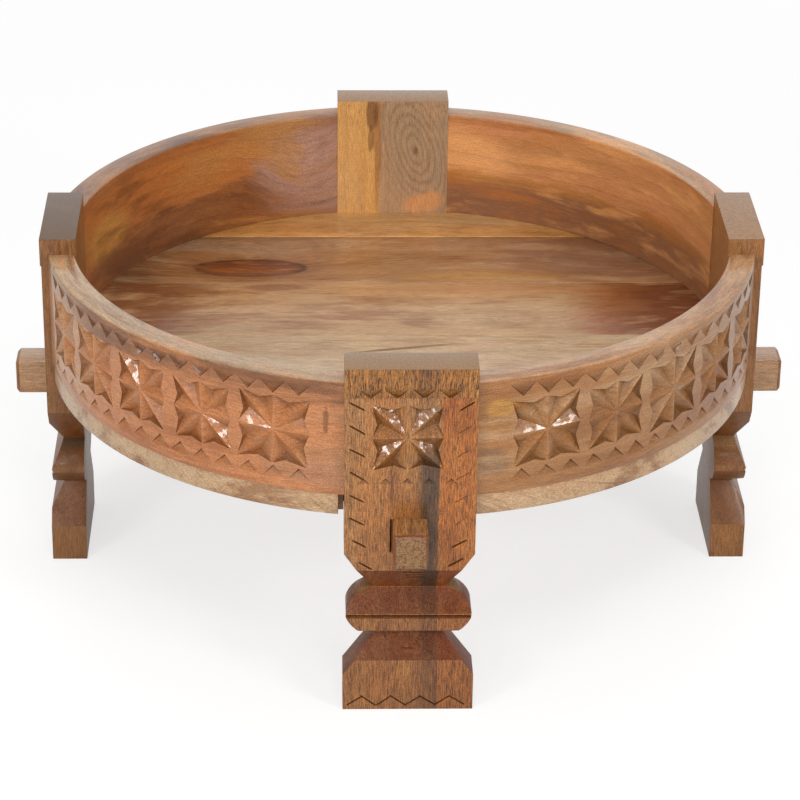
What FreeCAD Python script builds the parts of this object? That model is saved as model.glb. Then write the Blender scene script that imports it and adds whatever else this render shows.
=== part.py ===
import FreeCAD, Part
import math
import os

import Sketcher

# Low round tray table on four carved legs, in millimetres.
# +Z is up and the origin is on the ground under the middle of the tray.
# The front leg stands at -Y and the right leg at +X.

Vector = FreeCAD.Vector

SIZES = (
    ("leg_span", 600, "outer face to outer face of two opposite legs"),
    ("leg_height", 300, "ground to the top of a leg"),
    ("leg_width", 102, "leg, side to side, above the carved necks"),
    ("leg_thick", 30, "leg, inner face to outer face"),
    ("collar_height", 24, "plain band left proud at the top of a leg"),
    ("face_setback", 1, "carved face of a leg behind its collar"),
    ("body_slope", 34.5, "height of the slope from a leg's side to its upper neck"),
    ("body_front_slope", 20, "height of the same slope on the outer face"),
    ("neck_width", 55, "leg, side to side, at both necks"),
    ("neck_setback", 11.5, "both necks behind the collar"),
    ("bead_width", 99, "bead between the necks, side to side"),
    ("bead_setback", 2.5, "bead behind the collar"),
    ("bead_shoulder", 19, "height of the bead's round shoulder"),
    ("bead_shoulder_radius", 24, "roundness of the bead's shoulder"),
    ("bead_band", 4, "height of the bead's straight sides"),
    ("bead_underside", 17.5, "height of the bead's round underside"),
    ("bead_underside_radius", 30, "roundness of the bead's underside"),
    ("bead_face", 15, "height of the flat band on the bead's outer face"),
    ("bead_face_underside", 5.5, "height of the undercut below that band"),
    ("foot_width", 103.5, "foot, side to side"),
    ("foot_setback", 0.5, "foot behind the collar"),
    ("foot_block", 32, "height of the foot's straight sides"),
    ("foot_slope", 33.5, "height of the slope from the foot's side to the lower neck"),
    ("foot_front_slope", 20.5, "height of the same slope on the outer face"),
    ("floor_top", 189.5, "ground to the top of the tray floor"),
    ("floor_thick", 18, "tray floor boards"),
    ("floor_inset", 1.5, "edge of the floor behind the outside of the rim"),
    ("edge_board_width", 83, "floor boards at the front and back edge, at their widest"),
    ("second_board_width", 104, "floor boards next to the edge boards"),
    ("notch_gap", 4.5, "open gap in the floor on the left of the front leg"),
    ("notch_gap_depth", 17, "the same gap, in from the outer face of the leg"),
    ("notch_fit", 0.4, "clearance round a leg in its floor notch"),
    ("rim_inset", 2.5, "outside of the rim behind the collars of the legs"),
    ("rim_thick", 22, "rim wall"),
    ("leg_top_rise", 14, "leg above the top of the rim"),
    ("star_top_border", 18.25, "rim wall above a carved star"),
    ("star_low_border", 21.75, "rim wall below a carved star"),
    ("star_gap", 6.3, "rim wall between two stars"),
    ("star_end_room", 20, "least rim wall between a leg and the nearest star"),
    ("star_depth", 5.2, "deepest points of a star behind the outside of the rim"),
    ("star_ridge", 1, "uncut ridge between two hollows of a star"),
    ("beam_width", 44, "crossbeam between the legs"),
    ("beam_depth", 30, "crossbeam, top to bottom"),
    ("tenon_width", 27, "end of a crossbeam where it goes through a leg"),
    ("tenon_proud", 28, "end of a crossbeam beyond the leg"),
    ("tenon_chamfer", 2.5, "bevel round the end of a crossbeam"),
    ("tenon_fit", 0.2, "clearance over and beside a tenon"),
    ("lap_fit", 0.1, "clearance beside the half lap of the crossbeams"),
    ("dowel_diameter", 8, "dowel between a rim end and a leg"),
    ("dowel_length", 40, "half in the leg and half in the rim"),
    ("dowel_fit", 0.1, "clearance round a dowel"),
    ("screw_diameter", 4, "wood screw shank"),
    ("screw_head_diameter", 8, "countersunk screw head"),
    ("screw_head_height", 2.6, "countersunk screw head"),
    ("screw_fit", 0.1, "clearance round a screw"),
    ("hole_end_room", 1, "hole beyond the end of a dowel or screw"),
    ("rim_screw_length", 45, "screw through the floor into the rim"),
    ("rim_screw_angle", 30, "screw in the rim, from the line through two legs, in degrees"),
    ("beam_screw_length", 42, "screw through a crossbeam into the floor"),
    ("beam_screw_inner", 110, "inner screws of the left to right crossbeam, from the middle"),
    ("beam_screw_end", 50, "outer screws of the same crossbeam, from the legs"),
)

doc = FreeCAD.newDocument("LowTable")
sheet = doc.addObject("Spreadsheet::Sheet", "Sizes")
for row, (alias, value, meaning) in enumerate(SIZES, start=1):
    sheet.set(f"A{row}", meaning)
    sheet.set(f"B{row}", str(value))
    sheet.setAlias(f"B{row}", alias)
doc.recompute()

# Places that several pieces share, as expressions on the sheet.
LEG_OUT = "(Sizes.leg_span / 2)"
LEG_IN = "(Sizes.leg_span / 2 - Sizes.leg_thick)"
LEG_SIDE = "(Sizes.leg_width / 2)"
FOOT_TOP = "Sizes.foot_block"
LOWER_NECK = f"({FOOT_TOP} + Sizes.foot_slope)"
BEAD_LOW = f"({LOWER_NECK} + Sizes.bead_underside)"
BEAD_HIGH = f"({BEAD_LOW} + Sizes.bead_band)"
UPPER_NECK = f"({BEAD_HIGH} + Sizes.bead_shoulder)"
FLOOR_UNDER = "(Sizes.floor_top - Sizes.floor_thick)"
BEAM_UNDER = f"({FLOOR_UNDER} - Sizes.beam_depth)"
TENON_TIP = f"({LEG_OUT} + Sizes.tenon_proud)"
RIM_OUT = f"({LEG_OUT} - Sizes.rim_inset)"
RIM_IN = f"({RIM_OUT} - Sizes.rim_thick)"
RIM_MID = f"({RIM_OUT} - Sizes.rim_thick / 2)"
RIM_RISE = "(Sizes.leg_height - Sizes.leg_top_rise - Sizes.floor_top)"
STAR_WIDE = f"({RIM_RISE} - Sizes.star_top_border - Sizes.star_low_border)"
STAR_MID = f"(Sizes.floor_top + Sizes.star_low_border + {STAR_WIDE} / 2)"
FLOOR_EDGE = f"({RIM_OUT} - Sizes.floor_inset)"
EDGE_SEAM = f"({FLOOR_EDGE} - Sizes.edge_board_width)"
INNER_SEAM = f"({EDGE_SEAM} - Sizes.second_board_width)"
# A dowel lies in the middle of the rim wall, half way along its stretch in the rim.
DOWEL_REACH = f"sqrt({RIM_MID} ^ 2 - ({LEG_SIDE} + Sizes.dowel_length / 4) ^ 2)"
# Its height is a quarter of the rim wall from the lower or the upper edge.
DOWEL_LOW = f"(Sizes.floor_top + {RIM_RISE} / 4)"
DOWEL_HIGH = f"(Sizes.floor_top + {RIM_RISE} * 3 / 4)"


def number(expression):
    """Value of an expression on the sheet."""
    return float(sheet.evalExpression(expression))


def minus(expression):
    """The same place on the other side of the middle."""
    return f"-({expression})"


def bind(thing, expressions):
    """Tie properties of an object to expressions on the sheet."""
    for name, expression in expressions.items():
        thing.setExpression(name, expression)


def turn(thing, degrees):
    """Turn a piece about the upright middle line of the table."""
    thing.Placement = FreeCAD.Placement(Vector(), FreeCAD.Rotation(Vector(0, 0, 1), degrees))


def origin_part(body, role):
    """Origin plane or axis of a body."""
    return next(part for part in body.Origin.OriginFeatures if part.Role == role)


def new_sketch(body, name, role, lift):
    """Sketch on an origin plane, moved along the plane's normal by lift."""
    sketch = body.newObject("Sketcher::SketchObject", name)
    sketch.AttachmentSupport = [(origin_part(body, role), "")]
    sketch.MapMode = "FlatFace"
    sketch.setExpression("AttachmentOffset.Base.z", lift)
    return sketch


def constrain(sketch, expression, kind, *where):
    """Dimension in a sketch that follows an expression."""
    index = sketch.addConstraint(Sketcher.Constraint(kind, *where, number(expression)))
    sketch.setExpression(f"Constraints[{index}]", expression)


def pin(sketch, edge, end, x, y):
    """Place an end or centre of an edge, measured from the sketch's origin."""
    constrain(sketch, x, "DistanceX", -1, 1, edge, end)
    constrain(sketch, y, "DistanceY", -1, 1, edge, end)


def swelling_arc(start, end, radius):
    """Arc from start anticlockwise to end, of less than half a circle."""
    chord = end - start
    stand_off = math.sqrt(radius ** 2 - (chord.Length / 2) ** 2)
    inward = Vector(-chord.y, chord.x, 0).normalize()
    centre = (start + end) / 2 + inward * stand_off
    first, last = (math.atan2(spot.y - centre.y, spot.x - centre.x) for spot in (start, end))
    return Part.ArcOfCircle(Part.Circle(centre, Vector(0, 0, 1), radius), first, last)


def outline(sketch, corners):
    """Closed outline, anticlockwise.

    A corner is x and y, or x, y and a radius: the edge from there to the next corner is then
    an arc that swells outwards.
    """
    count = len(corners)
    spots = [Vector(number(corner[0]), number(corner[1]), 0) for corner in corners]
    for index, corner in enumerate(corners):
        start = spots[index]
        end = spots[(index + 1) % count]
        if len(corner) > 2:
            sketch.addGeometry(swelling_arc(start, end, number(corner[2])))
        else:
            sketch.addGeometry(Part.LineSegment(start, end))
    for index, corner in enumerate(corners):
        sketch.addConstraint(Sketcher.Constraint("Coincident", index, 2, (index + 1) % count, 1))
        pin(sketch, index, 1, corner[0], corner[1])
        if len(corner) > 2:
            constrain(sketch, corner[2], "Radius", index)


def rectangle(sketch, left, right, low, high):
    """Upright rectangle."""
    outline(sketch, [(left, low), (right, low), (right, high), (left, high)])


def circles(sketch, centres, radius):
    """Circles of one radius."""
    for x, y in centres:
        spot = Vector(number(x), number(y), 0)
        edge = sketch.addGeometry(Part.Circle(spot, Vector(0, 0, 1), number(radius)))
        pin(sketch, edge, 3, x, y)
        constrain(sketch, radius, "Radius", edge)


def pad(body, sketch, length, both_ways=False):
    """Wood along the sketch's normal."""
    feature = body.newObject("PartDesign::Pad", f"{sketch.Name}_pad")
    feature.Profile = sketch
    feature.SideType = "Symmetric" if both_ways else "One side"
    feature.setExpression("Length", length)
    doc.recompute()
    return feature


def pocket(body, sketch, length=None, both_ways=False, upwards=False):
    """Cut against the sketch's normal, through everything where no length is given."""
    before = body.Shape.Volume
    feature = body.newObject("PartDesign::Pocket", f"{sketch.Name}_cut")
    feature.Profile = sketch
    feature.SideType = "Symmetric" if both_ways else "One side"
    feature.Reversed = upwards
    if length:
        feature.setExpression("Length", length)
    else:
        feature.Type = "ThroughAll"
    doc.recompute()
    if not body.Shape.Volume < before:
        raise RuntimeError(f"{feature.Name} removes no wood")
    return feature


def cut(label, base, tools):
    """Base with the tools taken out of it."""
    together = doc.addObject("Part::Compound", f"{label}_tools")
    together.Links = tools
    result = doc.addObject("Part::Cut", label)
    result.Base = base
    result.Tool = together
    result.Label = label
    return result


# Legs


def leg_blank(name):
    """Front leg: its outline from the front, cut again to its outline from the side."""
    body = doc.addObject("PartDesign::Body", name)
    half_foot = "Sizes.foot_width / 2"
    half_neck = "Sizes.neck_width / 2"
    half_bead = "Sizes.bead_width / 2"
    shoulder = f"({UPPER_NECK} + Sizes.body_slope)"
    under_round = "Sizes.bead_underside_radius"
    over_round = "Sizes.bead_shoulder_radius"
    right = [
        (half_foot, "0"),
        (half_foot, FOOT_TOP),
        (half_neck, LOWER_NECK, under_round),
        (half_bead, BEAD_LOW),
        (half_bead, BEAD_HIGH, over_round),
        (half_neck, UPPER_NECK),
        (LEG_SIDE, shoulder),
        (LEG_SIDE, "Sizes.leg_height"),
    ]
    left = [
        (minus(LEG_SIDE), "Sizes.leg_height"),
        (minus(LEG_SIDE), shoulder),
        (minus(half_neck), UPPER_NECK, over_round),
        (minus(half_bead), BEAD_HIGH),
        (minus(half_bead), BEAD_LOW, under_round),
        (minus(half_neck), LOWER_NECK),
        (minus(half_foot), FOOT_TOP),
        (minus(half_foot), "0"),
    ]
    front = new_sketch(body, f"{name}_front", "XZ_Plane", LEG_IN)
    outline(front, right + left)
    pad(body, front, "Sizes.leg_thick")

    def depth(setback):
        return f"Sizes.{setback} - {LEG_OUT}"

    clear_out = f"-({LEG_OUT} + Sizes.leg_thick)"
    clear_down = "-Sizes.leg_thick"
    collar = "(Sizes.leg_height - Sizes.collar_height)"
    band_low = f"({LOWER_NECK} + Sizes.bead_face_underside)"
    side = new_sketch(body, f"{name}_side", "YZ_Plane", "0")
    outline(side, [
        (clear_out, clear_down),
        (depth("foot_setback"), clear_down),
        (depth("foot_setback"), f"{LOWER_NECK} - Sizes.foot_front_slope"),
        (depth("neck_setback"), LOWER_NECK),
        (depth("bead_setback"), band_low),
        (depth("bead_setback"), f"{band_low} + Sizes.bead_face"),
        (depth("neck_setback"), UPPER_NECK),
        (depth("face_setback"), f"{UPPER_NECK} + Sizes.body_front_slope"),
        (depth("face_setback"), collar),
        (clear_out, collar),
    ])
    pocket(body, side, both_ways=True)

    half_mortise = "(Sizes.tenon_width / 2 + Sizes.tenon_fit)"
    mortise = new_sketch(body, f"{name}_mortise", "XZ_Plane", LEG_OUT)
    rectangle(mortise, minus(half_mortise), half_mortise, BEAM_UNDER,
              f"{FLOOR_UNDER} + Sizes.tenon_fit")
    pocket(body, mortise)
    return body


def leg_dowels(name, fit, end_room):
    """The four dowels that join the front leg to the rims on both sides of it."""
    body = doc.addObject("PartDesign::Body", name)
    body.AllowCompound = True
    for side, place in (("right", LEG_SIDE), ("left", minus(LEG_SIDE))):
        sketch = new_sketch(body, f"{name}_{side}", "YZ_Plane", place)
        spots = [(minus(DOWEL_REACH), height) for height in (DOWEL_LOW, DOWEL_HIGH)]
        circles(sketch, spots, f"Sizes.dowel_diameter / 2 + {fit}")
        pad(body, sketch, f"Sizes.dowel_length + 2 * {end_room}", both_ways=True)
    return body


# Rim


def rim_blank(name):
    """Quarter of the rim between the front leg and the right leg."""
    body = doc.addObject("PartDesign::Body", name)
    sketch = new_sketch(body, f"{name}_plan", "XY_Plane", "Sizes.floor_top")
    side = number(LEG_SIDE)
    near = {}
    far = {}
    for radius in (RIM_OUT, RIM_IN):
        reach = math.sqrt(number(radius) ** 2 - side ** 2)
        near[radius] = Vector(side, -reach, 0)
        far[radius] = Vector(reach, -side, 0)
    outer = sketch.addGeometry(swelling_arc(near[RIM_OUT], far[RIM_OUT], number(RIM_OUT)))
    right_end = sketch.addGeometry(Part.LineSegment(far[RIM_OUT], far[RIM_IN]))
    inner = sketch.addGeometry(swelling_arc(near[RIM_IN], far[RIM_IN], number(RIM_IN)))
    front_end = sketch.addGeometry(Part.LineSegment(near[RIM_IN], near[RIM_OUT]))
    meetings = (
        (outer, 2, right_end, 1),
        (right_end, 2, inner, 2),
        (inner, 1, front_end, 1),
        (front_end, 2, outer, 1),
        (outer, 3, -1, 1),
        (inner, 3, -1, 1),
    )
    for meeting in meetings:
        sketch.addConstraint(Sketcher.Constraint("Coincident", *meeting))
    for arc, radius in ((outer, RIM_OUT), (inner, RIM_IN)):
        constrain(sketch, radius, "Radius", arc)
        constrain(sketch, LEG_SIDE, "DistanceX", -1, 1, arc, 1)
        constrain(sketch, minus(LEG_SIDE), "DistanceY", -1, 1, arc, 2)
    pad(body, sketch, RIM_RISE)
    return body


def hollow(corners, deepest):
    """Pyramid from four corners, the third of them a notch, down to its deepest point."""
    middle, side, notch, tip = corners
    triangles = [(notch, tip, middle), (notch, middle, side)]
    triangles += [(corners[index - 1], corners[index], deepest) for index in range(4)]
    faces = [Part.Face(Part.makePolygon([*triangle, triangle[0]])) for triangle in triangles]
    return Part.makeSolid(Part.makeShell(faces))


def star_shape():
    """Star of eight hollows, to be cut out of the rim where the X axis leaves it.

    A hollow spreads from the star's middle to the middle of a side and to a corner, with a notch
    between the two. It starts a little outside the round wall, so that it cuts the wall cleanly.
    """
    reach = number(RIM_OUT)
    height = number(STAR_MID)
    half = number(STAR_WIDE) / 2
    depth = number("Sizes.star_depth")
    outside = half ** 2 / (4 * reach)
    notch = Vector(0.86 * half, 0.4 * half, 0)
    deepest = notch * 0.84
    spread = (1 - number("Sizes.star_ridge") / (1.8 * deepest.y)) * (1 + outside / depth)
    corners = [Vector(0, 0, 0), Vector(half, 0, 0), notch, Vector(half, half, 0)]
    corners = [deepest + (corner - deepest) * spread for corner in corners]

    def on_wall(spot, flip, quarter, out):
        turned = FreeCAD.Rotation(Vector(0, 0, 1), 90 * quarter).multVec(Vector(spot.x, flip * spot.y, 0))
        angle = turned.x / reach
        away = reach + out
        return Vector(away * math.cos(angle), away * math.sin(angle), height + turned.y)

    hollows = []
    for quarter in range(4):
        for flip in (1, -1):
            edge = [on_wall(corner, flip, quarter, outside) for corner in corners]
            hollows.append(hollow(edge, on_wall(deepest, flip, quarter, -depth)))
    return hollows[0].multiFuse(hollows[1:])


def rim_stars(name, star):
    """As many stars as the front right quarter of the rim has room for, about its middle."""
    reach = number(RIM_OUT)
    wall = reach * (math.pi / 2 - 2 * math.asin(number(LEG_SIDE) / reach))
    gap = number("Sizes.star_gap")
    pitch = number(STAR_WIDE) + gap
    count = int((wall - 2 * number("Sizes.star_end_room") + gap) // pitch)
    stars = []
    for index in range(count):
        along = math.degrees((index - (count - 1) / 2) * pitch / reach)
        copy = star.copy()
        copy.rotate(Vector(), Vector(0, 0, 1), along - 45)
        stars.append(copy)
    group = doc.addObject("Part::Feature", name)
    group.Shape = Part.makeCompound(stars)
    return group


# Tray floor


def floor_disc(name):
    """Round floor with a notch for each leg, before it is divided into boards."""
    body = doc.addObject("PartDesign::Body", name)
    plan = new_sketch(body, f"{name}_plan", "XY_Plane", FLOOR_UNDER)
    circles(plan, [("0", "0")], FLOOR_EDGE)
    pad(body, plan, "Sizes.floor_thick")
    notch = new_sketch(body, f"{name}_notch", "XY_Plane", "Sizes.floor_top")
    half_notch = f"({LEG_SIDE} + Sizes.notch_fit)"
    rectangle(notch, minus(half_notch), half_notch, minus(LEG_OUT), f"Sizes.notch_fit - {LEG_IN}")
    first = pocket(body, notch)
    around = body.newObject("PartDesign::PolarPattern", f"{name}_notches")
    around.Originals = [first]
    around.Axis = (origin_part(body, "Z_Axis"), [""])
    around.Angle = 360
    around.Occurrences = 4
    body.Tip = around
    doc.recompute()
    gap = new_sketch(body, f"{name}_gap", "XY_Plane", "Sizes.floor_top")
    rectangle(gap, f"-({LEG_SIDE} + Sizes.notch_gap)", minus(LEG_SIDE), minus(LEG_OUT),
              f"Sizes.notch_gap_depth - {LEG_OUT}")
    pocket(body, gap)
    return body


def floor_board(label, disc, low, width, tools):
    """Strip of the floor from low towards the back, with its screw holes."""
    strip = doc.addObject("Part::Box", f"{label}_strip")
    bind(strip, {
        "Length": f"2 * {FLOOR_EDGE}",
        "Width": width,
        "Height": "Sizes.floor_thick",
        "Placement.Base.x": minus(FLOOR_EDGE),
        "Placement.Base.y": low,
        "Placement.Base.z": FLOOR_UNDER,
    })
    board = doc.addObject("Part::Common", f"{label}_blank")
    board.Base = disc
    board.Tool = strip
    return cut(label, board, tools)


# Crossbeams


def crossbeam_blank(name, lap_from_above):
    """Left to right beam with a shouldered tenon at each end and half a lap in the middle."""
    body = doc.addObject("PartDesign::Body", name)
    half = "Sizes.beam_width / 2"
    thin = "Sizes.tenon_width / 2"
    plan = new_sketch(body, f"{name}_plan", "XY_Plane", BEAM_UNDER)
    outline(plan, [
        (minus(TENON_TIP), minus(thin)),
        (minus(LEG_IN), minus(thin)),
        (minus(LEG_IN), minus(half)),
        (LEG_IN, minus(half)),
        (LEG_IN, minus(thin)),
        (TENON_TIP, minus(thin)),
        (TENON_TIP, thin),
        (LEG_IN, thin),
        (LEG_IN, half),
        (minus(LEG_IN), half),
        (minus(LEG_IN), thin),
        (minus(TENON_TIP), thin),
    ])
    bar = pad(body, plan, "Sizes.beam_depth")
    reach = number(TENON_TIP)
    ends = [
        f"Face{index}"
        for index, face in enumerate(bar.Shape.Faces, start=1)
        if math.isclose(abs(face.CenterOfMass.x), reach, abs_tol=1e-6)
    ]
    bevel = body.newObject("PartDesign::Chamfer", f"{name}_bevel")
    bevel.Base = (bar, ends)
    bevel.setExpression("Size", "Sizes.tenon_chamfer")
    doc.recompute()
    lap_half = "(Sizes.beam_width / 2 + Sizes.lap_fit)"
    lap = new_sketch(body, f"{name}_lap", "XY_Plane", FLOOR_UNDER if lap_from_above else BEAM_UNDER)
    rectangle(lap, minus(lap_half), lap_half, "-Sizes.beam_width", "Sizes.beam_width")
    pocket(body, lap, "Sizes.beam_depth / 2", upwards=not lap_from_above)
    return body


# Screws


def screw_set(label, spots, under, length, fit, end_room):
    """Countersunk screws driven upwards, with their heads flush at the height under."""
    screws = []
    for index, (x, y) in enumerate(spots, start=1):
        place = {"Placement.Base.x": x, "Placement.Base.y": y, "Placement.Base.z": under}
        shank_radius = f"Sizes.screw_diameter / 2 + {fit}"
        shank = doc.addObject("Part::Cylinder", f"{label}_shank{index}")
        bind(shank, {**place, "Radius": shank_radius, "Height": f"{length} + {end_room}"})
        head = doc.addObject("Part::Cone", f"{label}_head{index}")
        bind(head, {
            **place,
            "Radius1": f"Sizes.screw_head_diameter / 2 + {fit}",
            "Radius2": shank_radius,
            "Height": "Sizes.screw_head_height",
        })
        screw = doc.addObject("Part::Fuse", f"{label}_screw{index}")
        screw.Base = shank
        screw.Tool = head
        screws.append(screw)
    group = doc.addObject("Part::Compound", label)
    group.Links = screws
    group.Label = label
    return group


def rim_screw_spots():
    """Two screws under each quarter of the rim."""
    spots = []
    for quarter in range(4):
        for angle in ("Sizes.rim_screw_angle", "(90 - Sizes.rim_screw_angle)"):
            heading = f"({angle} + {90 * quarter})"
            spots.append((f"{RIM_MID} * cos({heading})", f"{RIM_MID} * sin({heading})"))
    return spots


def beam_screw_spots():
    """Screws along one crossbeam into all six boards, and beside the middle seam along the other."""
    spots = []
    for low, high in (("0", INNER_SEAM), (INNER_SEAM, EDGE_SEAM), (EDGE_SEAM, LEG_IN)):
        board_middle = f"({low} + {high}) / 2"
        spots += [("0", board_middle), ("0", minus(board_middle))]
    inner = "Sizes.beam_screw_inner"
    outer = f"({LEG_IN} - Sizes.beam_screw_end)"
    beside = "Sizes.beam_width / 4"
    spots += [(inner, beside), (outer, minus(beside))]
    spots += [(minus(inner), minus(beside)), (minus(outer), beside)]
    return spots


# Assembly

EXACT = ("0", "0")
HOLE = ("Sizes.screw_fit", "Sizes.hole_end_room")
DOWEL_HOLE = ("Sizes.dowel_fit", "Sizes.hole_end_room")

rim_screws = screw_set("rim_screws", rim_screw_spots(), FLOOR_UNDER, "Sizes.rim_screw_length", *EXACT)
rim_screw_holes = screw_set("rim_screw_holes", rim_screw_spots(), FLOOR_UNDER,
                            "Sizes.rim_screw_length", *HOLE)
beam_screws = screw_set("beam_screws", beam_screw_spots(), BEAM_UNDER, "Sizes.beam_screw_length", *EXACT)
beam_screw_holes = screw_set("beam_screw_holes", beam_screw_spots(), BEAM_UNDER,
                             "Sizes.beam_screw_length", *HOLE)
subparts = [rim_screws, beam_screws]

SIDES = ("front", "right", "back", "left")
QUARTERS = ("front_right", "back_right", "back_left", "front_left")

dowel_holes = []
for quarter, side in enumerate(SIDES):
    blank = leg_blank(f"leg_{side}_blank")
    dowels = leg_dowels(f"dowels_leg_{side}", *EXACT)
    holes = leg_dowels(f"dowel_holes_leg_{side}", *DOWEL_HOLE)
    for piece in (blank, dowels, holes):
        turn(piece, 90 * quarter)
    dowel_holes.append(holes)
    subparts += [cut(f"leg_{side}", blank, [holes]), dowels]

star = star_shape()
for quarter, place in enumerate(QUARTERS):
    blank = rim_blank(f"rim_{place}_blank")
    stars = rim_stars(f"rim_{place}_stars", star)
    for piece in (blank, stars):
        turn(piece, 90 * quarter)
    ends = [dowel_holes[quarter], dowel_holes[(quarter + 1) % len(SIDES)]]
    subparts.append(cut(f"rim_{place}", blank, ends + [rim_screw_holes, stars]))

disc = floor_disc("floor_disc")
BOARDS = (
    ("front_edge", minus(FLOOR_EDGE), "Sizes.edge_board_width"),
    ("front_second", minus(EDGE_SEAM), "Sizes.second_board_width"),
    ("front_middle", minus(INNER_SEAM), INNER_SEAM),
    ("back_middle", "0", INNER_SEAM),
    ("back_second", INNER_SEAM, "Sizes.second_board_width"),
    ("back_edge", EDGE_SEAM, "Sizes.edge_board_width"),
)
for place, low, width in BOARDS:
    subparts.append(floor_board(f"floor_board_{place}", disc, low, width,
                                [rim_screw_holes, beam_screw_holes]))

for way, degrees, lap_from_above in (("left_right", 0, False), ("front_back", 90, True)):
    blank = crossbeam_blank(f"crossbeam_{way}_blank", lap_from_above)
    turn(blank, degrees)
    subparts.append(cut(f"crossbeam_{way}", blank, [beam_screw_holes]))

doc.recompute()

failed = [thing.Name for thing in doc.Objects if {"Invalid", "Error"} & set(thing.State)]
failed += [piece.Label for piece in subparts if piece.Shape.isNull() or not piece.Shape.isValid()]
if failed:
    raise RuntimeError("failed: " + ", ".join(failed))

os.makedirs("parts", exist_ok=True)
for piece in subparts:
    piece.Shape.exportStep(f"parts/{piece.Label}.step")
    print(f"{piece.Label}: {len(piece.Shape.Solids)} solids, {piece.Shape.Volume / 1000:.1f} cm3")
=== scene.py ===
"""Low round tray table in carved mango wood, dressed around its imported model.

Lengths are in metres. +Z is up, the front leg stands at -Y and the right leg at +X.
"""
import math

import bmesh
import bpy
from mathutils import Matrix, Vector
from mathutils.bvhtree import BVHTree


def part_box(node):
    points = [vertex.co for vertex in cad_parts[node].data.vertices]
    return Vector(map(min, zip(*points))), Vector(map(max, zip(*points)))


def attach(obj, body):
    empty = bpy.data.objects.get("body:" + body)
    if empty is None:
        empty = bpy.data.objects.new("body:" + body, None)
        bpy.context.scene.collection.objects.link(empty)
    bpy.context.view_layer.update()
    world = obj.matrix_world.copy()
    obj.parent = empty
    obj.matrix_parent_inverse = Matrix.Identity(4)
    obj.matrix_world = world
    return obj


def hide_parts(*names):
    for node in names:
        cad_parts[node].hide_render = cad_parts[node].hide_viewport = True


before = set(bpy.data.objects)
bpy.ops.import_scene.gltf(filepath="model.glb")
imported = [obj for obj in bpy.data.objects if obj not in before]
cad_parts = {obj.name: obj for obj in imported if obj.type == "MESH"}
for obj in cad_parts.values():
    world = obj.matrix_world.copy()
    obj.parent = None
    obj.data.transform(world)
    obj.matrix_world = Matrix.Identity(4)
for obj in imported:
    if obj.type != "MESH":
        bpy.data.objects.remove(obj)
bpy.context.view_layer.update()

bl_info = {
    "name": "Low Tray Table",
    "version": (1, 0, 0),
    "blender": (4, 5, 0),
    "location": "3D View > Sidebar > Low Table",
    "description": "Builds the carved wood, fasteners and studio of a low round tray table",
    "category": "Object",
}

BODY = "root"
SIDES = ("front", "right", "back", "left")
QUARTERS = ("front_right", "back_right", "back_left", "front_left")
BOARDS = ("front_edge", "front_second", "front_middle", "back_middle", "back_second", "back_edge")
BEAMS = ("left_right", "front_back")
SCREWS = ("rim_screws", "beam_screws")
QUARTER_TURN = math.pi / 2

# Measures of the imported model
RIM_LOW, RIM_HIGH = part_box("rim_front_right")
LEG_FACE = -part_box("leg_front")[0].y
LEG_SIDE = RIM_LOW.x
RIM_OUT = math.hypot(RIM_HIGH.x, RIM_HIGH.y)
RIM_IN = min(math.hypot(v.co.x, v.co.y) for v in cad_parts["rim_front_right"].data.vertices)
RIM_FOOT = RIM_LOW.z
RIM_TOP = RIM_HIGH.z
FLOOR_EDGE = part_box("floor_board_back_middle")[1].x

# How far a cutter stands above the wood, where welding and rounding stop, and the steps of round stretches
CUTTER_LIFT = 0.0008
WELD = 1e-6
FLAT_ANGLE = math.radians(1)
SMOOTH_ANGLE = math.radians(27)
ROUND_ANGLE = SMOOTH_ANGLE * 0.8
SCREW_ANGLE = math.radians(40)
ROUND_SEGMENTS = 3
RIM_STEPS = 100

# Shortest edges that are rounded
LEG_SHORTEST = 0.0005
BOARD_SHORTEST = 0.004

# Painted shade in the cuts: how dark the wood is painted along a chip's edges, at its tip, at the lips and
# bottom of a groove and in a stroke
EDGE_PAINTED_SHADE = 1.1
TIP_PAINTED_SHADE = 0.6
LIP_PAINTED_SHADE = 0.3
GROOVE_PAINTED_SHADE = 1.3
STROKE_PAINTED_SHADE = 1.2
FAINT_PAINTED_SHADE = 0.3

# Notch between two points of a star, out and to the side in halves of the star's width
NOTCH_OUT = 0.86
NOTCH_SIDE = 0.4

# Wobbles per metre of an uneven cut, and the depth from which a cut counts as a deep tip
WOBBLE_GRAIN = (75.0, 75.0, 0.0)
TIP_DEPTH = 0.004

# First seeds of the uneven cuts and of the turned screws
RIM_SEED = 3
LEG_SEED = 11
SCREW_SEED = 5

# Studio: white, half the side of its floor, and the camera's sensor in millimetres
WHITE = (1.0, 1.0, 1.0)
FLOOR_REACH = 6.0
SENSOR = 36.0


def paint(code):
    """Linear colour of a six digit screen colour."""
    shares = [int(code[i:i + 2], 16) / 255 for i in (0, 2, 4)]
    return tuple(s / 12.92 if s <= 0.04045 else ((s + 0.055) / 1.055) ** 2.4 for s in shares)


def length(name, description, default):
    """Length that a user may change."""
    return bpy.props.FloatProperty(name=name, description=description, default=default, unit="LENGTH",
                                   precision=5)


def number(name, description, default, unit="NONE"):
    """Number that a user may change."""
    return bpy.props.FloatProperty(name=name, description=description, default=default, unit=unit)


def whole_number(name, description, default):
    """Whole number that a user may change."""
    return bpy.props.IntProperty(name=name, description=description, default=default)


def angle(name, description, degrees):
    """Angle that a user may change."""
    return bpy.props.FloatProperty(name=name, description=description, default=math.radians(degrees),
                                   subtype="ANGLE")


def colour(name, description, code):
    """Wood colour that a user may change."""
    return bpy.props.FloatVectorProperty(name=name, description=description, default=paint(code),
                                         subtype="COLOR", min=0.0, max=1.0)


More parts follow.
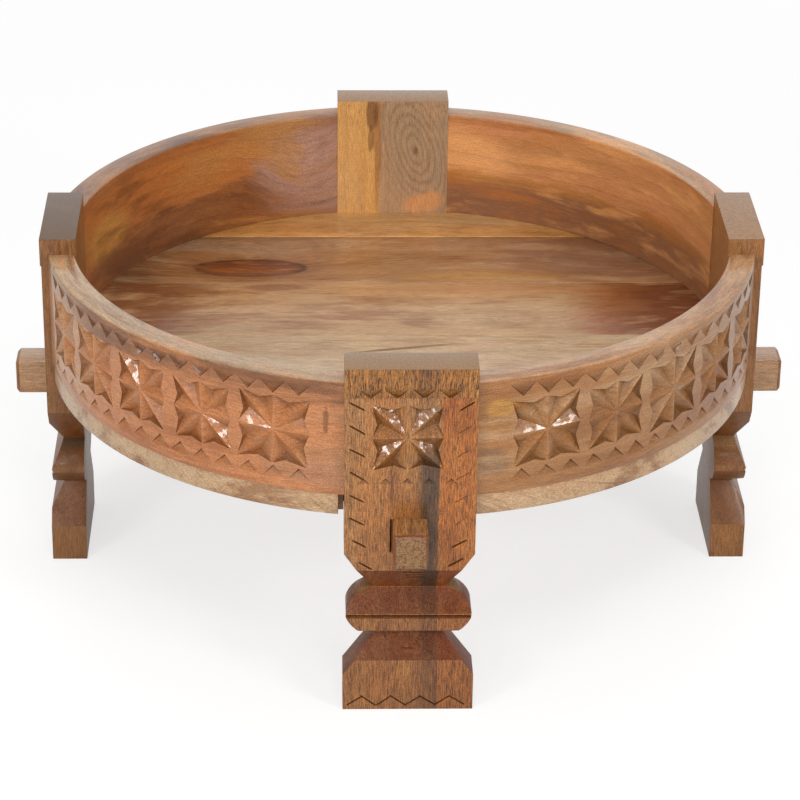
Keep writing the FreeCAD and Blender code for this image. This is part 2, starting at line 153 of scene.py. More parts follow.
class LowTableCarving(bpy.types.PropertyGroup):
    """Sizes of the hand carving and of the worn edges"""

    star_width: length("Star width", "Eight-pointed star, side to side", 0.0565)
    star_depth: length("Star depth", "Deepest point of a star below the wood", 0.0052)
    star_height: length("Star height", "Middle of the stars above the ground", 0.2395)
    stars: whole_number("Stars", "Stars on a quarter of the rim", 5)
    star_pitch: angle("Star pitch", "Angle from one star to the next round the rim", 12.1)
    ridge: length("Ridge", "Uncut wood left between two chips of a star", 0.001)
    chips: whole_number("Chips", "Border chips under each star", 3)
    chip_depth: length("Chip depth", "Deepest point of a border chip", 0.0022)
    upper_chip: length("Upper chip", "Height of a chip in the upper border", 0.0105)
    lower_chip: length("Lower chip", "Height of a chip in the lower border", 0.0095)
    upper_border: length("Upper border", "Middle of the upper border above the ground", 0.2755)
    lower_border: length("Lower border", "Middle of the lower border above the ground", 0.2038)
    stroke: length("Knife stroke", "Length of a slanted stroke beside a leg's star", 0.0152)
    stroke_width: length("Stroke width", "Width of a knife stroke", 0.0016)
    stroke_depth: length("Stroke depth", "Depth of a knife stroke", 0.002)
    unevenness: length("Unevenness", "How far a cut strays from its drawn line", 0.0006)
    rim_round: length("Rim rounding", "Worn roundness of the rim's upper edges", 0.0022)
    joint_round: length("Joint rounding", "Roundness of the edges along a joint", 0.0006)
    leg_round: length("Leg rounding", "Worn roundness of a leg's edges", 0.0013)
    board_round: length("Board rounding", "Roundness of a floor board's edges", 0.0006)
    beam_round: length("Beam rounding", "Worn roundness of a crossbeam's edges", 0.0009)


class LowTableColours(bpy.types.PropertyGroup):
    """Colours of the wood under its lacquer"""

    cream: colour("Cream", "Palest streaks of the floor", "DABF9B")
    pale: colour("Pale", "Sapwood and the sawn edge of the floor", "CBA47E")
    straw: colour("Straw", "Yellow sapwood at the back of the tray", "D6A25E")
    sand: colour("Sand", "Light floor boards", "BA946E")
    tan: colour("Tan", "Most of the rim and floor", "A67548")
    honey: colour("Honey", "Warm yellow brown", "AE7A3E")
    bronze: colour("Bronze", "Golden brown of the collars", "9C6830")
    ochre: colour("Ochre", "Yellow sapwood on the legs", "C08E42")
    peach: colour("Peach", "Pinkish orange wood of the rim", "BE7F52")
    apricot: colour("Apricot", "Bright orange wood inside the rim", "D6975F")
    amber: colour("Amber", "Orange brown wood", "B06A2E")
    rust: colour("Rust", "Orange brown heartwood", "96521F")
    chestnut: colour("Chestnut", "Brown of the legs", "8A5730")
    umber: colour("Umber", "Dark growth lines", "5C3519")
    slate: colour("Slate", "Darkest grey of the heart stripe", "57402E")
    ash: colour("Ash", "Grey brown heart stripe", "77604A")
    grey: colour("Grey", "Light grey brown wood", "9C866C")
    # Mauve also paints a sheen on the inner rim by the back leg
    mauve: colour("Mauve", "Pinkish grey wood near the back leg", "A6816C")
    plum: colour("Plum", "Purplish brown near the back leg", "7C5544")
    sawn: colour("Sawn", "Leg tops and tenon ends", "9A7549")
    # Pore also paints the shade in the deepest cuts
    pore: colour("Pore", "Open pores and the deepest cuts", "371C0C")
    knot: colour("Knot", "Heart of the knot in the floor", "54200A")


class LowTableStudio(bpy.types.PropertyGroup):
    """Camera and light"""

    lens: number("Lens", "Focal length on a 36 mm sensor", 139.09, "CAMERA")
    distance: length("Distance", "Camera to the point it looks at", 2.679)
    aim_side: length("Aim side", "Point looked at, from the middle towards the right leg", -0.0046)
    aim_height: length("Aim height", "Point looked at, above the ground", 0.1163)
    elevation: angle("Elevation", "Camera above the horizon", 26.36)
    yaw: angle("Yaw", "Camera turned to the right of the front leg", -1.75)
    roll: angle("Roll", "Camera leaning to its left", 0.66)
    shift_across: number("Shift across", "Picture moved sideways", 0.00804)
    shift_up: number("Shift up", "Picture moved up", 0.0141)
    ambient: number("Ambient", "Light from all round", 0.4)
    side_power: number("Sides", "Watts of one square metre of side softbox", 95.0, "POWER")
    front_power: number("Front", "Softbox over the camera in watts", 16.0, "POWER")
    top_power: number("Top", "Overhead softbox in watts", 14.0, "POWER")


# Node trees


class Wire:
    """Output of a node that can be written in a Python sum."""

    def __init__(self, bench, socket):
        self.bench = bench
        self.socket = socket

    def output(self, name):
        """Another output of the same node."""
        return Wire(self.bench, self.socket.node.outputs[name])

    def __add__(self, other):
        return self.bench.sum("ADD", self, other)

    __radd__ = __add__

    def __sub__(self, other):
        return self.bench.sum("SUBTRACT", self, other)

    def __rsub__(self, other):
        return self.bench.sum("SUBTRACT", other, self)

    def __mul__(self, other):
        return self.bench.sum("MULTIPLY", self, other)

    __rmul__ = __mul__

    def __truediv__(self, other):
        return self.bench.sum("DIVIDE", self, other)

    def __rtruediv__(self, other):
        return self.bench.sum("DIVIDE", other, self)

    def __pow__(self, other):
        return self.bench.sum("POWER", self, other)

    def __rpow__(self, other):
        return self.bench.sum("POWER", other, self)

    def __neg__(self):
        return self.bench.sum("MULTIPLY", self, -1.0)


# How far one seed moves a noise along each axis
SEED_STEP = (7.31, 3.17, 5.73)


class Bench:
    """Adds nodes to one tree."""

    def __init__(self, tree):
        self.tree = tree
        tree.nodes.clear()

    def add(self, kind, settings=(), sockets=(), out=0):
        """Node of a kind: its settings are set first, then its sockets by identifier or number."""
        node = self.tree.nodes.new(kind)
        for name, value in dict(settings).items():
            setattr(node, name, value)
        for name, value in dict(sockets).items():
            if isinstance(name, int):
                socket = node.inputs[name]
            else:
                socket = next(s for s in node.inputs if s.identifier == name)
            for one in value if isinstance(value, list) else [value]:
                self.feed(one, socket)
        if not len(node.outputs):
            return node
        if isinstance(out, str):
            out = [s.identifier for s in node.outputs].index(out)
        return Wire(self, node.outputs[out])

    def feed(self, value, socket):
        """Link or value of a socket."""
        if isinstance(value, Wire):
            self.tree.links.new(value.socket, socket)
        elif socket.type == "RGBA":
            socket.default_value = (*value[:3], 1.0)
        else:
            socket.default_value = value

    def sum(self, operation, *values):
        """Math node."""
        return self.add("ShaderNodeMath", {"operation": operation}, dict(enumerate(values)))

    def vector(self, operation, *values):
        """Vector Math node."""
        return self.add("ShaderNodeVectorMath", {"operation": operation}, dict(enumerate(values)))

    def join(self, x, y, z):
        """Vector from three values."""
        return self.add("ShaderNodeCombineXYZ", (), {0: x, 1: y, 2: z})

    def split(self, vector):
        """Three values from a vector."""
        x = self.add("ShaderNodeSeparateXYZ", (), {0: vector})
        return x, x.output("Y"), x.output("Z")

    def noise(self, vector, grain, detail, rough, seed):
        """Noise with so many grains per metre along each axis."""
        offset = tuple(seed * step for step in SEED_STEP)
        moved = self.vector("MULTIPLY_ADD", vector, grain, offset)
        sockets = {"Vector": moved, "Scale": 1.0, "Detail": detail, "Roughness": rough}
        return self.add("ShaderNodeTexNoise", (), sockets, "Fac")

    def mask(self, value, low, high):
        """Soft step from 0 at low to 1 at high."""
        return self.add("ShaderNodeMapRange", {"interpolation_type": "SMOOTHSTEP"},
                        {"Value": value, "From Min": low, "From Max": high})

    def blend(self, under, over, share):
        """Colour between two colours."""
        return self.add("ShaderNodeMix", {"data_type": "RGBA"},
                        {"Factor_Float": share, "A_Color": under, "B_Color": over}, "Result_Color")


# Wood


class Place:
    """Where a point lies in a board: along, across and through the grain, and how far it faces along it."""

    def __init__(self, bench, axes):
        point = bench.add("ShaderNodeTexCoord", (), (), "Object")
        x, y, z = bench.split(point)
        facing = dict(zip("xyz", bench.split(point.output("Normal"))))
        if axes == "ring":
            reach = bench.sum("SQRT", x * x + y * y)
            self.along = bench.sum("ARCTAN2", y, x) * RIM_OUT
            self.across = z
            self.through = reach
            end = (x * facing["y"] - y * facing["x"]) / reach
        else:
            ways = {"x": x, "y": y, "z": z}
            self.along, self.across, self.through = [ways[axis] for axis in axes]
            end = facing[axes[0]]
        self.bench = bench
        self.x, self.y, self.z = x, y, z
        self.end = bench.sum("ABSOLUTE", end)
        self.up = facing["z"]
        self.grain = bench.join(self.along, self.across, self.through)

    def spot(self, along, across, half_length, half_width, tilt=0.0):
        """Distance from a spot, 1 on its oval edge; tilt is how far it climbs across per length along."""
        side = self.along - along
        rise = self.across - across - side * tilt
        side = side / half_length
        rise = rise / half_width
        return self.bench.sum("SQRT", side * side + rise * rise)


# Grains per metre of the figure along, across and through a board
SWAY_GRAIN = (3.0, 13.0, 13.0)
PATCH_GRAIN = (3.2, 20.0, 20.0)
STREAK_GRAIN = (8.0, 330.0, 330.0)
FIBRE_GRAIN = (95.0, 1300.0, 1300.0)
PORE_GRAIN = (190.0, 1900.0, 1900.0)
GRIT_GRAIN = (900.0, 900.0, 900.0)
SPECK_GRAIN = (620.0, 620.0, 620.0)
FILM_GRAIN = (120.0, 120.0, 120.0)

# Share of each colour that is left where a surface slopes across the grain and takes up more stain
STAINED = (0.48, 0.28, 0.07)


def wood(name, look, colours):
    """Satin mango wood: colour zones, figure, growth lines, fibres, pores, end grain and painted shade in the
    cuts.
    """
    material = bpy.data.materials.new(name)
    material.use_nodes = True
    bench = Bench(material.node_tree)
    place = Place(bench, look["axes"])
    seed = look["seed"]
    tone = {key: tuple(getattr(colours, key)) for key in colours.__annotations__}

    def layered(grain):
        """Grains per metre with the wood's own share of layers through the board."""
        return (*grain[:2], grain[2] * look["layers"])

    # Figure
    sway = bench.noise(place.grain, SWAY_GRAIN, 2.0, 0.5, seed) - 0.5
    drift = place.across + place.through * 0.4 + sway * look["sway"]
    for along, across, half_length, half_width in look["swirls"]:
        reach = place.spot(along, across, half_length, half_width)
        drift = drift + half_width * 0.9 * (math.e ** (reach * reach * -0.7))
    bent = bench.join(place.along, drift, place.through)
    cloud = bench.noise(bent, look["cloud_size"], 3.0, 0.55, seed + 1) - 0.5
    flame = bench.noise(bent, look["flame_size"], 4.0, 0.6, seed + 2) - 0.5
    streak = bench.noise(bent, layered(STREAK_GRAIN), 3.0, 0.6, seed + 3) - 0.5
    fibre = bench.noise(bent, layered(FIBRE_GRAIN), 2.0, 0.6, seed + 4) - 0.5
    grit = bench.noise(place.grain, GRIT_GRAIN, 2.0, 0.7, seed + 5) - 0.5
    rag = flame + streak * 0.5

    # Colour zones, light and dark figure, growth lines and fibres
    base = tone[look["middle"]]
    for index, mood in enumerate(("warm", "cool")):
        patch = bench.noise(bent, PATCH_GRAIN, 3.0, 0.55, seed + 6 + index)
        base = bench.blend(base, tone[look[mood]], bench.mask(patch, 0.47, 0.64) * look[f"{mood}_share"])
    for feature in look["features"]:
        base = feature(bench, place, base, tone, rag)
    level = cloud * look["clouds"] + flame * look["flames"] + streak * look["streaks"]
    base = bench.blend(base, tone[look["dark"]], bench.mask(level, 0.0, -0.6) * look["shade"])
    base = bench.blend(base, tone[look["light"]], bench.mask(level, 0.0, 0.6) * look["shine"])
    line = bench.sum("FRACT", drift / look["ring"] + cloud * 3.0 + flame * 0.5) ** 6.0
    base = bench.blend(base, tone["umber"], line * look["lines"])
    grain = 1 + fibre * look["fibres"] + grit * look["grits"]
    base = bench.add("ShaderNodeVectorMath", {"operation": "SCALE"}, {"Vector": base, "Scale": grain})

    # Pores, stained slopes, sawn ends, and painted shade in the carved cuts
    pit = bench.noise(bent, layered(PORE_GRAIN), 1.0, 0.5, seed + 8)
    pore = bench.mask(pit, 0.52, 0.72) * look["pores"]
    if look["dashed"]:
        pore = pore * (1 + bench.mask(place.along, look["dashed"] - 0.001, look["dashed"] + 0.001) * 1.6)
    base = bench.blend(base, tone["pore"], pore)
    cut = bench.add("ShaderNodeAttribute", {"attribute_name": "cut"}, (), "Fac")
    facet = bench.add("ShaderNodeAttribute", {"attribute_name": "facet"}, (), "Fac")
    slope = bench.mask(place.end, 0.16, 0.45) * (1 - facet * 0.8) * look["end_share"]
    stained = bench.vector("MULTIPLY", base, STAINED)
    base = bench.blend(base, stained, slope * (0.85 + rag * 2.2))
    speck = bench.noise(place.grain, SPECK_GRAIN, 4.0, 0.8, seed + 9)
    # Up-facing sawn ends get fewer dark specks: a painted sheen from the light above
    painted_top_sheen = bench.mask(place.up, 0.5, 0.9) * 0.5
    speck = bench.mask(speck, 0.46, 0.58) * (0.95 - painted_top_sheen)
    sawn = bench.blend(tone[look["sawn"]], tone["umber"], speck)
    across_grain = bench.mask(place.end, 0.7, 0.9) * (1 - facet)
    base = bench.blend(base, sawn, across_grain * look["sawn_share"])
    base = bench.vector("MULTIPLY", base, look["tint"])
    # Painted shade in the carved cuts, as the cut attribute gives it
    base = bench.blend(base, tone["pore"], cut * 0.6)

    # Lacquer, thinner on the slopes and patchy on the carved facets
    rough = look["rough"] + streak * 0.15 + pore * 0.2 + cloud * 0.15
    film = bench.noise(place.grain, FILM_GRAIN, 4.0, 0.6, seed + 12)
    lacquer = look["coat"] * (1 - facet) * (1 - slope * (1 - across_grain) * 0.85)
    lacquer = lacquer + facet * bench.mask(film, 0.5, 0.62) * 0.7
    height = fibre * 0.35 + streak * 0.3 + grit * 0.3 - pore * 0.8
    normal = bench.add("ShaderNodeBump", (), {"Strength": 0.5, "Distance": 0.0006, "Height": height})
    surface = bench.add("ShaderNodeBsdfPrincipled", (), {
        "Base Color": base,
        "Roughness": rough,
        "IOR": 1.5,
        "Specular IOR Level": 0.3,
        "Coat Weight": lacquer,
        "Coat Roughness": look["coat_rough"],
        "Normal": normal,
    })
    bench.add("ShaderNodeOutputMaterial", (), {"Surface": surface})
    return material


def knot_feature(along, across, half_length, half_width):
    """Dark spindle of a grown-in branch with a black edge."""
    def feature(bench, place, base, tone, rag):
        reach = place.spot(along, across, half_length, half_width) + rag * 0.25
        inside = bench.mask(reach, 1.03, 0.96)
        heart = bench.blend(tone["knot"], tone["rust"], bench.mask(rag, -0.15, 0.2))
        heart = bench.blend(heart, tone["pore"], bench.mask(reach, 0.72, 0.98) * 0.85)
        base = bench.blend(base, tone["umber"], bench.mask(reach, 1.5, 1.02) * 0.4)
        return bench.blend(base, heart, inside)
    return feature


def zone_feature(start, full, over, share, way="across", slope=0.0, ragged=0.03):
    """Wood of another colour beyond a ragged line, which climbs across by slope per length along."""
    def feature(bench, place, base, tone, rag):
        value = getattr(place, way) + rag * ragged
        if slope:
            value = value + place.along * slope
        return bench.blend(base, tone[over], bench.mask(value, start, full) * share)
    return feature


def patch_feature(along, across, half_length, half_width, over, share, tilt=0.0, ragged=0.9):
    """Soft oval patch of another colour."""
    def feature(bench, place, base, tone, rag):
        reach = place.spot(along, across, half_length, half_width, tilt) + rag * ragged
        return bench.blend(base, tone[over], bench.mask(reach, 1.2, 0.6) * share)
    return feature


def stripe_feature(soft, firm, top, over, share):
    """Upright stripe below a height, soft on its left and with a firm right edge."""
    def feature(bench, place, base, tone, rag):
        value = place.across + rag * 0.012
        inside = bench.mask(value, soft, soft + 0.008) * bench.mask(value, firm, firm - 0.0016)
        inside = inside * bench.mask(place.along, top, top - 0.025)
        return bench.blend(base, tone[over], inside * share)
    return feature


def eye_feature(along, across, half_length, half_width):
    """Oval growth rings round one point, as where a board was sawn across a branch."""
    def feature(bench, place, base, tone, rag):
        reach = place.spot(along, across, half_length, half_width, -0.25) + rag * 0.22
        ring = bench.sum("SINE", reach * 27.0 + rag * 3.0) * 0.5 + 0.5
        near = bench.mask(reach, 2.1, 0.7)
        base = bench.blend(base, tone["grey"], near * 0.5)
        base = bench.blend(base, tone["umber"], ring ** 2.0 * near * 0.3)
        heart = place.spot(along, across, half_length * 0.09, half_width * 0.09)
        return bench.blend(base, tone["umber"], bench.mask(heart, 1.2, 0.7) * 0.8)
    return feature


def edge_feature():
    """Outer edge of the round floor, sawn across the boards and paler than their top."""
    def feature(bench, place, base, tone, rag):
        reach = bench.sum("SQRT", place.x * place.x + place.y * place.y)
        edge = bench.mask(reach, FLOOR_EDGE - 0.004, FLOOR_EDGE - 0.001)
        cloud = bench.noise(place.grain, (11.0, 11.0, 40.0), 2.0, 0.5, 31.0)
        sawn = bench.blend(tone["cream"], tone["honey"], bench.mask(cloud, 0.48, 0.75) * 0.55)
        sawn = bench.blend(sawn, tone["apricot"], bench.mask(cloud, 0.48, 0.3) * 0.4)
        side = place.along - place.across * 0.8
        slant = bench.join(place.through * 0.8 + side * 0.55, place.through * -0.55 + side * 0.8, 0.0)
        ring = bench.noise(slant, (420.0, 22.0, 1.0), 3.0, 0.6, 33.0)
        sawn = bench.blend(sawn, tone["chestnut"], bench.mask(ring, 0.5, 0.72) * 0.55)
        return bench.blend(base, bench.vector("MULTIPLY", sawn, (0.85, 0.77, 0.7)), edge * 0.9)
    return feature


def top_feature(low, high, share):
    """Upper edge of the rim, streaked by the layers of wood that it cuts through; its colours also paint the
    sheen of light on the top.
    """
    def feature(bench, place, base, tone, rag):
        streaky = bench.blend(tone[low], tone[high], bench.mask(rag, -0.3, 0.3))
        upper = bench.mask(place.up, 0.55, 0.85) * bench.mask(place.z, RIM_TOP - 0.003, RIM_TOP - 0.001)
        return bench.blend(base, streaky, upper * share)
    return feature


# Looks: three colours from dark to light, two that come and go in patches, and the strengths of the figure
PLAIN_LOOK = dict(
    sway=0.03,  # Metres that the growth lines stray
    swirls=(),  # Places that the growth lines bend round: along, across, half length, half width
    cloud_size=(4.5, 26.0, 26.0),  # Grains per metre of the broad figure
    flame_size=(13.0, 85.0, 85.0),  # Grains per metre of the narrow figure
    layers=1.0,  # Share of the fine figure through the board
    ring=0.014,  # Metres from one growth line to the next
    warm_share=0.45,
    cool_share=0.45,
    clouds=1.7,
    flames=1.4,
    streaks=0.8,
    shade=0.8,  # Share of the dark colour
    shine=0.7,  # Share of the light colour
    lines=0.25,
    fibres=0.9,
    grits=0.7,
    pores=0.35,
    dashed=None,  # Height above which the pores stand out more
    end_share=1.0,  # How far slopes across the grain are stained
    sawn="sawn",  # Colour of ends across the grain
    sawn_share=0.9,
    features=(),
    tint=WHITE,
    rough=0.36,
    coat=0.55,
    coat_rough=0.12,
)
LEG_LOOK = dict(PLAIN_LOOK, dark="umber", middle="tan", light="honey", warm="amber", cool="chestnut",
                warm_share=0.4, cool_share=0.5, pores=0.45, sway=0.012, clouds=1.5, flames=1.5, streaks=1.0,
                shade=0.6, shine=0.5, lines=0.15, fibres=3.0, grits=1.9, dashed=0.2755)
RIM_LOOK = dict(PLAIN_LOOK, axes="ring", dark="umber", middle="tan", light="peach", warm="amber", cool="grey",
                warm_share=0.4, cool_share=0.35, pores=0.2, sway=0.03, end_share=0.2, sawn_share=0.3,
                rough=0.34, clouds=2.4, flames=2.0, streaks=0.7, shade=0.6, lines=0.12, fibres=1.0,
                grits=1.5, layers=0.15)
BACK_RIM_LOOK = dict(RIM_LOOK, pores=0.05, cloud_size=(5.0, 20.0, 20.0), flame_size=(13.0, 50.0, 50.0),
                     clouds=2.8, flames=2.6, streaks=0.35, lines=0.2, fibres=0.8, grits=1.2, coat_rough=0.25)
FLOOR_LOOK = dict(PLAIN_LOOK, axes="xyz", dark="chestnut", middle="tan", light="sand", warm="amber",
                  cool="grey", rough=0.3, pores=0.15, sway=0.05, ring=0.024, cloud_size=(6.5, 26.0, 26.0),
                  flame_size=(18.0, 75.0, 75.0), clouds=2.4, flames=2.2, streaks=0.6, shade=0.7, shine=0.65,
                  fibres=1.5, grits=0.9, lines=0.15, end_share=0.0, sawn_share=0.0, coat=0.42,
                  coat_rough=0.22)
SIDE_LEG_LOOK = dict(LEG_LOOK, axes="zyx", pores=0.2, fibres=1.6, grits=1.2, end_share=0.6, coat=0.25)
BEAM_LOOK = dict(LEG_LOOK, light="sand")

WOODS = {
    "leg_front": dict(LEG_LOOK, axes="zxy", seed=1.0, tint=(1.0, 0.96, 0.84), features=(
        patch_feature(0.15, 0.0, 0.075, 0.017, "chestnut", 0.7),
        stripe_feature(0.004, 0.0232, 0.24, "slate", 1.0),
        zone_feature(0.0215, 0.0245, "amber", 0.85, ragged=0.012),
        zone_feature(0.0215, 0.0245, "rust", 0.4, ragged=0.03),
        patch_feature(0.262, 0.039, 0.022, 0.016, "rust", 0.8),
        zone_feature(0.2745, 0.277, "bronze", 0.85, "along", ragged=0.0),
        zone_feature(0.11, 0.1, "chestnut", 0.65, "along"),
    )),
    "leg_right": dict(SIDE_LEG_LOOK, seed=2.0, sawn="sand", tint=(0.82, 0.76, 0.69)),
    "leg_back": dict(LEG_LOOK, axes="zxy", seed=3.0, dark="grey", middle="sand", light="pale", warm="sand",
                     cool="grey", pores=0.15, flames=0.8, streaks=0.6, fibres=0.9, grits=0.9,
                     tint=(1.03, 0.98, 0.94), features=(
        eye_feature(0.252, 0.021, 0.045, 0.022),
        patch_feature(0.2, 0.03, 0.012, 0.02, "apricot", 0.8, tilt=0.6),
        zone_feature(-0.0105, -0.0135, "straw", 0.95, ragged=0.006),
        patch_feature(0.25, -0.014, 0.06, 0.004, "chestnut", 0.6, ragged=1.6),
        patch_feature(0.287, -0.019, 0.014, 0.006, "umber", 0.7, ragged=1.3),
        patch_feature(0.262, -0.02, 0.012, 0.003, "umber", 0.55, ragged=1.3),
    )),
    "leg_left": dict(SIDE_LEG_LOOK, seed=4.0, sawn="ash", tint=(0.72, 0.67, 0.62)),
    "rim_front_right": dict(RIM_LOOK, seed=5.0, light="sand", dark="chestnut",
                            tint=(1.0, 0.97, 0.9), features=(
        patch_feature(-0.402, 0.257, 0.022, 0.022, "bronze", 0.7),
        patch_feature(-0.398, 0.262, 0.012, 0.008, "ochre", 0.6),
        patch_feature(-0.404, 0.216, 0.016, 0.012, "ash", 0.6),
        top_feature("tan", "pale", 0.8),
    )),
    "rim_back_right": dict(BACK_RIM_LOOK, seed=6.0, dark="amber", middle="peach", light="apricot",
                           warm="honey", cool="tan", tint=(1.15, 1.15, 1.08), features=(
        patch_feature(0.40, 0.247, 0.05, 0.03, "apricot", 0.9, ragged=0.4),
        zone_feature(0.236, 0.226, "bronze", 0.7),
        zone_feature(0.226, 0.219, "plum", 0.8),
        patch_feature(0.12, 0.205, 0.16, 0.03, "chestnut", 0.6),
        zone_feature(0.277, 0.286, "rust", 0.6),
        top_feature("ash", "sand", 0.85),
    )),
    "rim_back_left": dict(BACK_RIM_LOOK, seed=7.0, middle="chestnut", light="honey", cool="chestnut",
                          tint=(1.1, 1.06, 1.1), swirls=((0.557, 0.222, 0.045, 0.03),), features=(
        zone_feature(0.287, 0.293, "peach", 0.4, slope=0.083),
        zone_feature(0.287, 0.293, "amber", 0.85, slope=0.083),
        patch_feature(0.82, 0.235, 0.05, 0.022, "ochre", 0.7),
        # Pinkish grey wood by the back leg, partly a painted sheen on the inner wall
        patch_feature(0.535, 0.25, 0.075, 0.07, "mauve", 0.95),
        zone_feature(0.268, 0.281, "chestnut", 0.6),
        top_feature("slate", "tan", 0.85),
    )),
    "rim_front_left": dict(RIM_LOOK, seed=8.0, dark="rust", middle="peach", light="peach", warm="apricot",
                           tint=(1.02, 0.95, 0.84), features=(
        zone_feature(0.262, 0.268, "chestnut", 0.8),
        zone_feature(0.262, 0.268, "slate", 0.45, ragged=0.06),
        patch_feature(-0.533, 0.252, 0.0022, 0.012, "umber", 0.6, ragged=2.0),
        patch_feature(-0.53, 0.205, 0.05, 0.012, "mauve", 0.4),
        patch_feature(-0.84, 0.235, 0.09, 0.06, "pale", 0.5),
        top_feature("grey", "cream", 0.75),
    )),
    "floor_board_front_edge": dict(FLOOR_LOOK, seed=9.0),
    "floor_board_front_second": dict(FLOOR_LOOK, seed=10.0, middle="sand", light="pale"),
    "floor_board_front_middle": dict(FLOOR_LOOK, seed=11.0, dark="sand", middle="cream", light="cream",
                                     warm="pale", cool_share=0.3, features=(
        patch_feature(0.06, -0.005, 0.15, 0.006, "cream", 0.7),
        patch_feature(0.004, -0.027, 0.05, 0.0022, "umber", 0.75, tilt=0.2, ragged=0.4),
    )),
    "floor_board_back_middle": dict(FLOOR_LOOK, seed=12.0, middle="sand", light="pale", warm="peach",
                                    cool_share=0.3, tint=(1.1, 1.05, 0.91), features=(
        zone_feature(0.145, 0.19, "rust", 0.9, "along", ragged=0.12),
        zone_feature(0.165, 0.23, "knot", 0.75, "along", ragged=0.08),
        # Darker wood and painted shade at the left end of the floor, by the rim wall
        zone_feature(-0.15, -0.22, "umber", 0.85, "along", ragged=0.1),
        zone_feature(-0.15, -0.22, "rust", 0.35, "along", ragged=0.1),
        patch_feature(-0.108, 0.098, 0.03, 0.007, "plum", 0.6),
    )),
    "floor_board_back_second": dict(FLOOR_LOOK, seed=13.0, swirls=(
        (-0.130, 0.142, 0.09, 0.03),
        (0.2, 0.13, 0.06, 0.03),
    ), features=(
        patch_feature(0.19, 0.165, 0.11, 0.05, "plum", 0.5),
        # Darker wood and painted shade at the left end of the floor, by the rim wall
        zone_feature(-0.19, -0.24, "umber", 0.7, "along", ragged=0.08),
        patch_feature(0.075, 0.122, 0.07, 0.012, "ochre", 0.5),
        knot_feature(-0.130, 0.142, 0.052, 0.019),
    )),
    "floor_board_back_edge": dict(FLOOR_LOOK, seed=14.0, middle="straw", light="straw", dark="honey",
                                  tint=(1.15, 1.12, 1.06)),
    "crossbeam_left_right": dict(BEAM_LOOK, axes="xyz", seed=15.0, middle="sand", light="pale", pores=0.15,
                                 fibres=1.5, grits=1.2, tint=(1.12, 1.13, 1.12)),
    "crossbeam_front_back": dict(BEAM_LOOK, axes="yxz", seed=16.0),
    "dowels": dict(BEAM_LOOK, axes="xyz", seed=17.0, middle="sand", light="pale", coat=0.0, rough=0.6),
}
for board in BOARDS:
    look = WOODS[f"floor_board_{board}"]
    look["features"] = (*look["features"], edge_feature())


def zinc():
    """Yellow zinc plate on the screws, dulled by driving."""
    material = bpy.data.materials.new("screw_zinc")
    material.use_nodes = True
    bench = Bench(material.node_tree)
    point = bench.add("ShaderNodeTexCoord", (), (), "Object")
    cloud = bench.noise(point, (700.0, 700.0, 700.0), 4.0, 0.6, 1.0)
    scratch = bench.noise(point, (2500.0, 400.0, 2500.0), 2.0, 0.5, 2.0)
    base = bench.blend(paint("B9A36A"), paint("8E8577"), bench.mask(cloud, 0.4, 0.65))
    normal = bench.add("ShaderNodeBump", (), {"Strength": 0.3, "Distance": 0.0002, "Height": scratch})
    surface = bench.add("ShaderNodeBsdfPrincipled", (), {
        "Base Color": base,
        "Metallic": 1.0,
        "Roughness": 0.25 + scratch * 0.25,
        "Normal": normal,
    })
    bench.add("ShaderNodeOutputMaterial", (), {"Surface": surface})
    return material


# Meshes


def new_object(name, mesh):
    """Object at the origin."""
    thing = bpy.data.objects.new(name, mesh)
    bpy.context.scene.collection.objects.link(thing)
    return thing


def mesh_from(name, vertices, faces):
    """Closed mesh with its faces turned outwards."""
    work = bmesh.new()
    points = [work.verts.new(place) for place in vertices]
    for face in faces:
        work.faces.new([points[index] for index in face])
    bmesh.ops.recalc_face_normals(work, faces=work.faces)
    mesh = bpy.data.meshes.new(name)
    work.to_mesh(mesh)
    work.free()
    return mesh


def cad_copy(node):
    """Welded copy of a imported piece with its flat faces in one."""
    work = bmesh.new()
    work.from_mesh(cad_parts[node].data)
    bmesh.ops.remove_doubles(work, verts=work.verts, dist=WELD)
    bmesh.ops.dissolve_limit(work, angle_limit=FLAT_ANGLE, verts=work.verts, edges=work.edges)
    return work


def round_edges(work, width, shortest):
    """Worn edges: bevels the sharp edges that are longer than shortest."""
    edges = [edge for edge in work.edges if edge.is_manifold and edge.calc_length() > shortest
             and edge.calc_face_angle() > ROUND_ANGLE]
    bmesh.ops.bevel(work, geom=edges, offset=width, offset_type="OFFSET", segments=ROUND_SEGMENTS,
                    profile=0.5, affect="EDGES", clamp_overlap=True)


def shade(mesh):
    """Smooth shading that breaks at sharp edges."""
    mesh.polygons.foreach_set("use_smooth", [True] * len(mesh.polygons))
    mesh.set_sharp_from_angle(angle=SMOOTH_ANGLE)


def finish_piece(piece, nodes):
    """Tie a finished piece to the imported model."""
    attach(piece, BODY)
    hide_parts(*nodes)


def evaluated(piece, tree, values):
    """Run a node tree on a piece and keep the result as its own plain mesh."""
    modifier = piece.modifiers.new(tree.name, "NODES")
    modifier.node_group = tree
    for item in tree.interface.items_tree:
        if item.in_out == "INPUT" and item.name in values:
            modifier[item.identifier] = values[item.name]
    graph = bpy.context.evaluated_depsgraph_get()
    mesh = bpy.data.meshes.new_from_object(piece.evaluated_get(graph))
    piece.modifiers.clear()
    piece.data = mesh
    mesh.name = piece.name
    return mesh


# Cutters lie flat: x along the work, y up it and z out of it.


def chip(outline, deepest, depth, edges):
    """Pyramid that cuts one chip: its outline on the wood, its tip and the painted shade along each side."""
    grown = 1 + CUTTER_LIFT / depth
    count = len(outline)
    vertices = [(*(deepest + (point - deepest) * grown), CUTTER_LIFT) for point in outline]
    vertices.append((*deepest, -depth))
    faces = [tuple(range(count))]
    faces += [((index + 1) % count, index, count) for index in range(count)]
    return vertices, faces, [[0.0] * count] + [[edge, edge, TIP_PAINTED_SHADE] for edge in edges]


